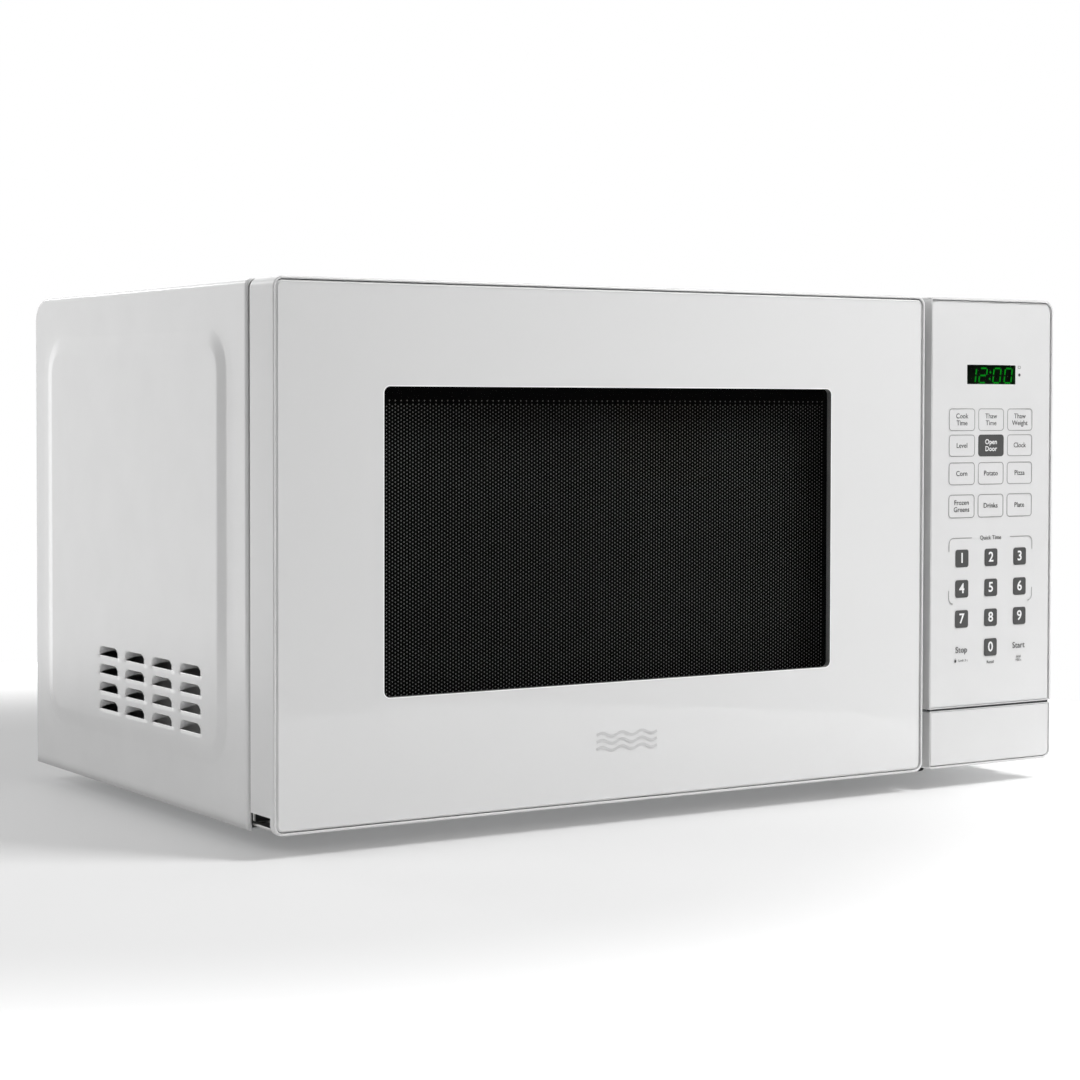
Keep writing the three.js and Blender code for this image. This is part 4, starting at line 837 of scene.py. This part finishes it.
def bracket_corner(x, z, side, upward):
    """A rounded corner stroke with a short leg up or down and a run along the row."""
    radius = BRACKET_RADIUS
    run = BRACKET_RUN if upward > 0 else BRACKET_SHORT_RUN
    path = [(x, z - upward * BRACKET_LEG), (x, z - upward * radius)]
    for step in range(1, BRACKET_STEPS):
        angle = PI / 2 * step / BRACKET_STEPS
        path.append((x + side * radius * (1 - math.cos(angle)), z - upward * radius * (1 - math.sin(angle))))
    path += [(x + side * radius, z), (x + side * run, z)]
    return ribbon(path, LINE, INK_FACE)


def ribbon(path, width, y):
    """A flat printed stroke of some width along a path of (x, z) points."""
    loops = []
    for index, (x, z) in enumerate(path):
        before = Vector(path[max(index - 1, 0)])
        after = Vector(path[min(index + 1, len(path) - 1)])
        along = (after - before).normalized()
        across = Vector((-along.y, along.x)) * width / 2
        loops.append([
            (x - across.x, y + INK_THICK, z - across.y), (x - across.x, y, z - across.y),
            (x + across.x, y, z + across.y), (x + across.x, y + INK_THICK, z + across.y),
        ])
    return skin(loops)


for side, x in ((1, BRACKET_X[0]), (-1, BRACKET_X[1])):
    frames.append(bracket_corner(x, BRACKET_Z[1], side, 1))
    frames.append(bracket_corner(x, BRACKET_Z[0], side, -1))
LOCK_X, LAMP_X = 166.1, 210.4
SMALL_WORDS = (
    ("Quick Time", 190.5, 132.8, 3.2), ("Stop", NUMBER_X[0], 73.6, 4.6), ("Start", 211.2, 74.2, 4.6),
    ("Lock 3 s", 171.5, 68.0, 1.9), ("Recall", NUMBER_X[1], 66.2, 2.2), ("Add\n+30 s", 211.2, 67.2, 1.9),
)
captions += [lettering(*words) for words in SMALL_WORDS]
captions.append(pad_mark(around(LOCK_X, 1.2), around(67.8, 1.3), 0.2))
captions.append(outline_mark(around(LOCK_X, 0.8), around(68.6, 1.3), 0.4, 0.18))
captions.append(dot_mark(LAMP_X, 219.7, 0.8, 20))
captions.append(outline_mark(around(LAMP_X - 0.1, 1.8), around(223.8, 1.5), 0.4, 0.2))

printed(frames, "key_outlines", INK_LINE)
printed(captions, "key_captions", INK)
printed(pads, "key_pads", INK_PAD)
printed(light_words, "key_numbers", INK_WHITE)

# ---- clock digits
SEGMENTS = {"0": "abcdef", "1": "bc", "2": "abged"}
SEGMENT_ENDS = {
    "a": ((0, 2), (1, 2)), "b": ((1, 2), (1, 1)), "c": ((1, 1), (1, 0)), "d": ((0, 0), (1, 0)),
    "e": ((0, 1), (0, 0)), "f": ((0, 2), (0, 1)), "g": ((0, 1), (1, 1)),
}
DIGIT_HEIGHT = 7.7
DIGIT_WIDTH = 5.0
DIGIT_X = (4.6, 12.2, 22.1, 30.2)
COLON_X = 17.2
COLON_PLACES = (0.55, 1.45)
COLON_RADIUS = 0.6
SLANT = 0.13
SEGMENT_WIDTH = 0.85
SEGMENT_GAP = 0.12


def clock():
    """The lit segments of 12:00 and the colon, behind the display window; cells are 1 wide and 2 high."""
    y = LENS_HIGH.y + 0.25
    middle = (LENS_Z[0] + LENS_Z[1]) / 2 - 0.5

    def place(u, v, left):
        height = (v - 1) * DIGIT_HEIGHT / 2
        return left + u + SLANT * height, middle + height

    strokes = []
    for digit, centre in zip("1200", DIGIT_X):
        left = LENS_X[0] + centre - DIGIT_WIDTH / 2
        for name in SEGMENTS[digit]:
            (u0, v0), (u1, v1) = SEGMENT_ENDS[name]
            shares = (SEGMENT_GAP, 1 - SEGMENT_GAP)
            ends = [place((u0 + (u1 - u0) * t) * DIGIT_WIDTH, v0 + (v1 - v0) * t, left) for t in shares]
            strokes.append(ribbon(ends, SEGMENT_WIDTH, y))
    for v in COLON_PLACES:
        strokes.append(dot_mark(*place(0, v, LENS_X[0] + COLON_X), COLON_RADIUS, 16, y))
    return strokes


printed(clock(), "clock_digits", GLOW, slot="smoked_window")


# ---- the mark under the window, three waves, and a painted highlight line round the window
MARK_X = (-62.5, -27.2)
MARK_Z = (37.6, 41.0, 44.4)
WAVE_HEIGHT = 0.9
WAVE_STROKE = 1.3
WAVE_STEPS = 48
BORDER = 0.5
GLASS_PRINT_AND_HIGHLIGHT_FACE = GLASS_LOW.y - INK_THICK
waves = []
for z in MARK_Z:
    path = []
    for step in range(WAVE_STEPS + 1):
        t = step / WAVE_STEPS
        path.append((MARK_X[0] + (MARK_X[1] - MARK_X[0]) * t, z + WAVE_HEIGHT * math.sin(t * 6 * PI)))
    waves.append(ribbon(path, WAVE_STROKE, GLASS_PRINT_AND_HIGHLIGHT_FACE))
printed(waves, "wave_mark", INK_MARK, "door", "printed_glass")
# Painted highlight: a light ring just outside the window's edge, in place of the glass edge's glint.
border_x = (WINDOW_X[0] - BORDER, WINDOW_X[1] + BORDER)
border_z = (WINDOW_Z[0] - BORDER, WINDOW_Z[1] + BORDER)
border = outline_mark(border_x, border_z, WINDOW_CORNER + BORDER, BORDER, GLASS_PRINT_AND_HIGHLIGHT_FACE)
printed([border], "window_highlight_line", WINDOW_HIGHLIGHT, "door", "printed_glass")


# ------------------------------------------------------------------ inside the oven
TURN = centre_of("glass_tray")[:2]
TRAY_RADIUS = (TRAY_HIGH.x - TRAY_LOW.x) / 2
LUG_HEIGHT = 6
TRAY_BOTTOM = TRAY_LOW.z + LUG_HEIGHT
LUG_CIRCLE = 9.5
RING_RADII = (78, 84)
RING_Z = (38.2, 42.4)
AXLE_Z = 40.3
WHEEL_X = (88, 94)
WHEEL_RADII = (2, 7)


def glass_tray():
    """The tray's raised edge, its flat middle with a ring in relief, and three lugs for the coupler."""
    r, b = TRAY_RADIUS, TRAY_BOTTOM
    profile = softened([
        (0.01, b, 0), (r - 14, b, 4), (r - 4, b + 7, 1.5), (r, b + 7.5, 1.4), (r, b + 10, 1.2),
        (r - 5, b + 10, 1.5), (r - 15, b + 4, 4), (78, b + 4, 0), (76, b + 3.4, 0), (74, b + 4, 0),
        (0.01, b + 4, 0),
    ], 4)
    lug = [(0.01, 0), (1.8, 0), (2.4, 0.8), (2.4, LUG_HEIGHT), (0.01, LUG_HEIGHT)]
    lugs = []
    for k in range(3):
        angle = PI / 3 + k * 2 * PI / 3
        at = (TURN[0] + LUG_CIRCLE * math.cos(angle), TURN[1] + LUG_CIRCLE * math.sin(angle), b - LUG_HEIGHT)
        lugs.append(lathe(lug, at, "z", 20))
    return merged(lathe(profile, (*TURN, 0), "z", 96), *lugs)


def spoke(k, solid):
    """A solid made along x, moved to the k-th of three places round the tray's axis."""
    turn = Matrix.Translation((*TURN, AXLE_Z)) @ Matrix.Rotation(k * 2 * PI / 3, 4, "Z")
    return [tuple(turn @ Vector(p)) for p in solid[0]], solid[1]


def roller_support():
    """The nylon ring and its three stub axles, each with a head that keeps its wheel on."""
    (inner, outer), (low, high) = RING_RADII, RING_Z
    section = softened([(inner, low, 0.8), (outer, low, 0.8), (outer, high, 0.8), (inner, high, 0.8)])
    rod = [(0.01, 81), (1.6, 81), (1.6, 96), (3, 96.3), (3, 97.7), (2.6, 98), (0.01, 98)]
    axles = [spoke(k, lathe(rod, (0, 0, 0), "x", 20)) for k in range(3)]
    return merged(lathe(section, (*TURN, 0), "z", 96, closed=True), *axles)


piece("tray_glass", *glass_tray(), CLEAR, "tray", "clear_glass", ["glass_tray"])
piece("roller_frame", *roller_support(), NYLON, "roller_ring", "nylon", ["roller_ring"])
(bore, tread), (near, far) = WHEEL_RADII, WHEEL_X
wheel_section = softened([(bore, near, 0.3), (tread, near, 0.8), (tread, far, 0.8), (bore, far, 0.3)])
wheel = lathe(wheel_section, (0, 0, 0), "x", 48, closed=True)
for k in range(3):
    piece(f"wheel_{k + 1}", *spoke(k, wheel), NYLON, f"roller_{k + 1}", "nylon", [f"roller_{k + 1}"])


# ------------------------------------------------------------------ feet and fasteners
SLOT_REACH = 1.9
SLOT_HALF_WIDTH = 0.35
SLOT_DEPTH = 1.2

for place in ("front_left", "front_right", "rear_left", "rear_right"):
    name = f"foot_{place}"
    top = corners(name)[1].z
    x, y, _ = centre_of(name)
    outline = [(0.01, 2.5, 0), (4.5, 2.5, 0.4), (5, 0, 0.8), (8.5, 0, 1), (10, top, 0), (0.01, top, 0)]
    foot = lathe(softened(outline), (x, y, 0))
    piece(f"rubber_{place}", *foot, RUBBER, "cabinet", "foot_rubber", [name])

for k in range(1, 4):
    name = f"rear_screw_{k}"
    low, high = corners(name)
    x, _, z = centre_of(name)
    height = high.y - low.y
    profile = softened([(0.3, height, 0), (2.4, height, 0.8), (3.6, 0.6, 0.5), (3.6, 0, 0)])
    head = piece(f"screw_head_{k}", *lathe(profile, (x, low.y, z), "y", 32),
                 BRIGHT, "cabinet", "bright_steel", [name])
    deep = high.y - SLOT_DEPTH
    for across, upright in ((SLOT_REACH, SLOT_HALF_WIDTH), (SLOT_HALF_WIDTH, SLOT_REACH)):
        carve(head, block((x - across, deep, z - upright), (x + across, high.y + 1, z + upright)))


# ------------------------------------------------------------------ springs
def helix(radius, wire, turns, start, end, centre, axis):
    """A coil spring's wire as one closed tube."""
    steps, sides = turns * 20, 8
    loops = []
    for step in range(steps + 1):
        t = step / steps
        angle = t * turns * 2 * PI
        along = start + (end - start) * t
        loop = []
        for side in range(sides):
            around_wire = 2 * PI * side / sides
            reach = radius + wire * math.cos(around_wire)
            height = along + wire * math.sin(around_wire)
            u, v = reach * math.cos(angle), reach * math.sin(angle)
            offset = (u, height, v) if axis == "y" else (u, v, height)
            loop.append(tuple(c + o for c, o in zip(centre, offset)))
        loops.append(loop)
    return skin(loops)


WIRE = 0.6
PUSH_RADIUS = 5.6
HOOK_RADIUS = 3.0
COILS = 5

spring_low, spring_high = corners("button_spring")
x, _, z = centre_of("button_spring")
push_coil = helix(PUSH_RADIUS, WIRE, COILS, spring_low.y + WIRE, spring_high.y - WIRE, (x, 0, z), "y")
push_spring = piece("push_spring", *push_coil, BRIGHT, "cabinet", "bright_steel", ["button_spring"])
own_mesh(push_spring)

spring_low, spring_high = corners("latch_spring")
x, y, _ = centre_of("latch_spring")
hook_coil = helix(HOOK_RADIUS, WIRE, COILS, spring_low.z + WIRE, spring_high.z - WIRE, (x, y, 0), "z")
hook_spring = piece("hook_spring", *hook_coil, BRIGHT, "door", "bright_steel", ["latch_spring"])
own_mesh(hook_spring)


# ------------------------------------------------------------------ CAD nodes that stay
EDGE_ROUNDING = 0.25
EDGE_SEGMENTS = 2
EDGE_ANGLE = 35
WELD_DISTANCE = 0.02
FINISHES = {
    "galvanised_steel": STEEL, "enamel": ENAMEL, "black_plastic": DARK, "bright_steel": BRIGHT,
    "mica": MICA, "copper_wire": COPPER, "circuit_board": BOARD, "grey_plastic": MOULDED, "nylon": NYLON,
    "clear_glass": CLEAR, "white_paint": PAINT, "foot_rubber": RUBBER, "white_plastic": WHITE,
    "keypad_film": FILM, "smoked_window": SMOKED, "printed_glass": PRINT, "black_paint": BLACK,
}
for name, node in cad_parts.items():
    if node.hide_render:
        continue
    finish = FINISHES[node.data.materials[0].name]
    node.data.materials[0] = SHEET if name == "inner_window" else finish
    weld = node.modifiers.new("weld", "WELD")
    weld.merge_threshold = WELD_DISTANCE * MM
    rounded_edges(node, EDGE_ROUNDING, EDGE_SEGMENTS, EDGE_ANGLE)
    flat_faces(node)


# ------------------------------------------------------------------ camera, floor and light
FLOOR_GLOW = 0.18
KEY = 15.0
SIDE = 9.2
TOP = 5.5
REAR_SKY = 1.9
RIM_GLINT = 0.7
DOME = 0.17
OVEN_LAMP = 0.28
OVEN_LAMP_Z = 0.226
REAR_BAND = (0.74, 0.88)
DOME_BAND = (0.1, 0.6)
CAMERA_AT = (-0.7269, -1.1395, 0.2026)
YAW, PITCH, ROLL = (math.radians(a) for a in (32.579, 1.682, 0.109))
SENSOR = 36.0
LENS_LENGTH = 82.91
SHIFT_Y = -0.0565

view = Vector((math.sin(YAW) * math.cos(PITCH), math.cos(YAW) * math.cos(PITCH), -math.sin(PITCH)))
level = view.cross(Vector((0, 0, 1))).normalized()
over = level.cross(view)
right = math.cos(ROLL) * level + math.sin(ROLL) * over
up = -math.sin(ROLL) * level + math.cos(ROLL) * over
camera_data = bpy.data.cameras.new("camera")
camera_data.lens = LENS_LENGTH
camera_data.sensor_width = SENSOR
camera_data.shift_y = SHIFT_Y
camera = bpy.data.objects.new("camera", camera_data)
camera.matrix_world = Matrix.Translation(CAMERA_AT) @ Matrix((right, up, -view)).transposed().to_4x4()
scene.collection.objects.link(camera)
scene.camera = camera

FLOOR_RADIUS = 0.7
FLOOR_FADE = 0.35
FLOOR_SIDES = 128
FLOOR_CENTRE = (-0.2, 0.05, 0)
FLOOR = surface("floor_paper", grey(0.62), 0.9, mottle=0.004, mottle_size=0.6, Specular_IOR_Level=0.1,
                Emission_Color=(1, 1, 1, 1))
glow = FLOOR.node_tree
distance = glow.nodes.new("ShaderNodeVectorMath")
distance.operation = "LENGTH"
glow.links.new(glow.nodes["Texture Coordinate"].outputs["Object"], distance.inputs[0])
fade = glow.nodes.new("ShaderNodeMapRange")
fade.interpolation_type = "SMOOTHSTEP"
fade.inputs["From Min"].default_value = FLOOR_FADE
fade.inputs["From Max"].default_value = FLOOR_RADIUS
fade.inputs["To Min"].default_value = FLOOR_GLOW
fade.inputs["To Max"].default_value = 1.0
glow.links.new(distance.outputs["Value"], fade.inputs["Value"])
glow.links.new(fade.outputs["Result"], glow.nodes["Principled BSDF"].inputs["Emission Strength"])
floor_mesh = bpy.data.meshes.new("floor")
turns = [2 * PI * side / FLOOR_SIDES for side in range(FLOOR_SIDES)]
floor_rim = [(FLOOR_RADIUS * math.cos(turn), FLOOR_RADIUS * math.sin(turn), 0) for turn in turns]
floor_mesh.from_pydata(floor_rim, [], [tuple(range(FLOOR_SIDES))])
floor_mesh.materials.append(FLOOR)
floor = bpy.data.objects.new("floor", floor_mesh)
floor.location = FLOOR_CENTRE
scene.collection.objects.link(floor)


def softbox(name, place, target, size, watts):
    """A square lamp that faces a target."""
    lamp = bpy.data.lights.new(name, "AREA")
    lamp.size = size
    lamp.energy = watts
    obj = bpy.data.objects.new(name, lamp)
    obj.location = place
    obj.rotation_mode = "QUATERNION"
    obj.rotation_quaternion = (Vector(target) - Vector(place)).to_track_quat("-Z", "Y")
    scene.collection.objects.link(obj)


softbox("key_light", (0.5, -0.8, 1.0), (0.05, -0.1, 0.2), 0.5, KEY)
softbox("side_light", (-1.6, 0.2, 1.1), (-0.2, 0, 0.14), 1.0, SIDE)
softbox("top_light", (0.0, -0.1, 2.0), (0, 0, 0), 1.8, TOP)
softbox("rim_light", (-0.53, 1.37, 0.79), (-0.23, 0, 0.26), 0.12, RIM_GLINT)
tray_x, tray_y = (c * MM for c in TURN)
softbox("oven_light", (tray_x, tray_y, OVEN_LAMP_Z), (tray_x, tray_y, 0), 0.18, OVEN_LAMP)

world = bpy.data.worlds.new("studio")
scene.world = world
world.use_nodes = True
sky = world.node_tree


def sky_node(kind, operation=None, **values):
    """A node of the world, with values for its sockets."""
    made = sky.nodes.new(kind)
    if operation:
        made.operation = operation
    for socket, value in values.items():
        made.inputs[socket.replace("_", " ")].default_value = value
    return made


def sky_band(source, start, end, strength):
    """Light that grows to a strength between two values of a direction."""
    band = sky_node("ShaderNodeMapRange", From_Min=start, From_Max=end, To_Min=0.0, To_Max=strength)
    band.interpolation_type = "SMOOTHSTEP"
    sky.links.new(source, band.inputs["Value"])
    return band.outputs["Result"]


direction = sky.nodes.new("ShaderNodeTexCoord")
axes = sky.nodes.new("ShaderNodeSeparateXYZ")
sky.links.new(direction.outputs["Generated"], axes.inputs["Vector"])
total = sky_node("ShaderNodeMath", "ADD")
sky.links.new(sky_band(axes.outputs["Y"], *REAR_BAND, REAR_SKY), total.inputs[0])
sky.links.new(sky_band(axes.outputs["Z"], *DOME_BAND, DOME), total.inputs[1])
seen = sky.nodes.new("ShaderNodeLightPath")
choose = sky_node("ShaderNodeMix", B=1.0)
sky.links.new(seen.outputs["Is Camera Ray"], choose.inputs["Factor"])
sky.links.new(total.outputs["Value"], choose.inputs["A"])
background = sky.nodes["Background"]
background.inputs["Color"].default_value = (1, 1, 1, 1)
sky.links.new(choose.outputs["Result"], background.inputs["Strength"])
scene.view_settings.view_transform = "Standard"
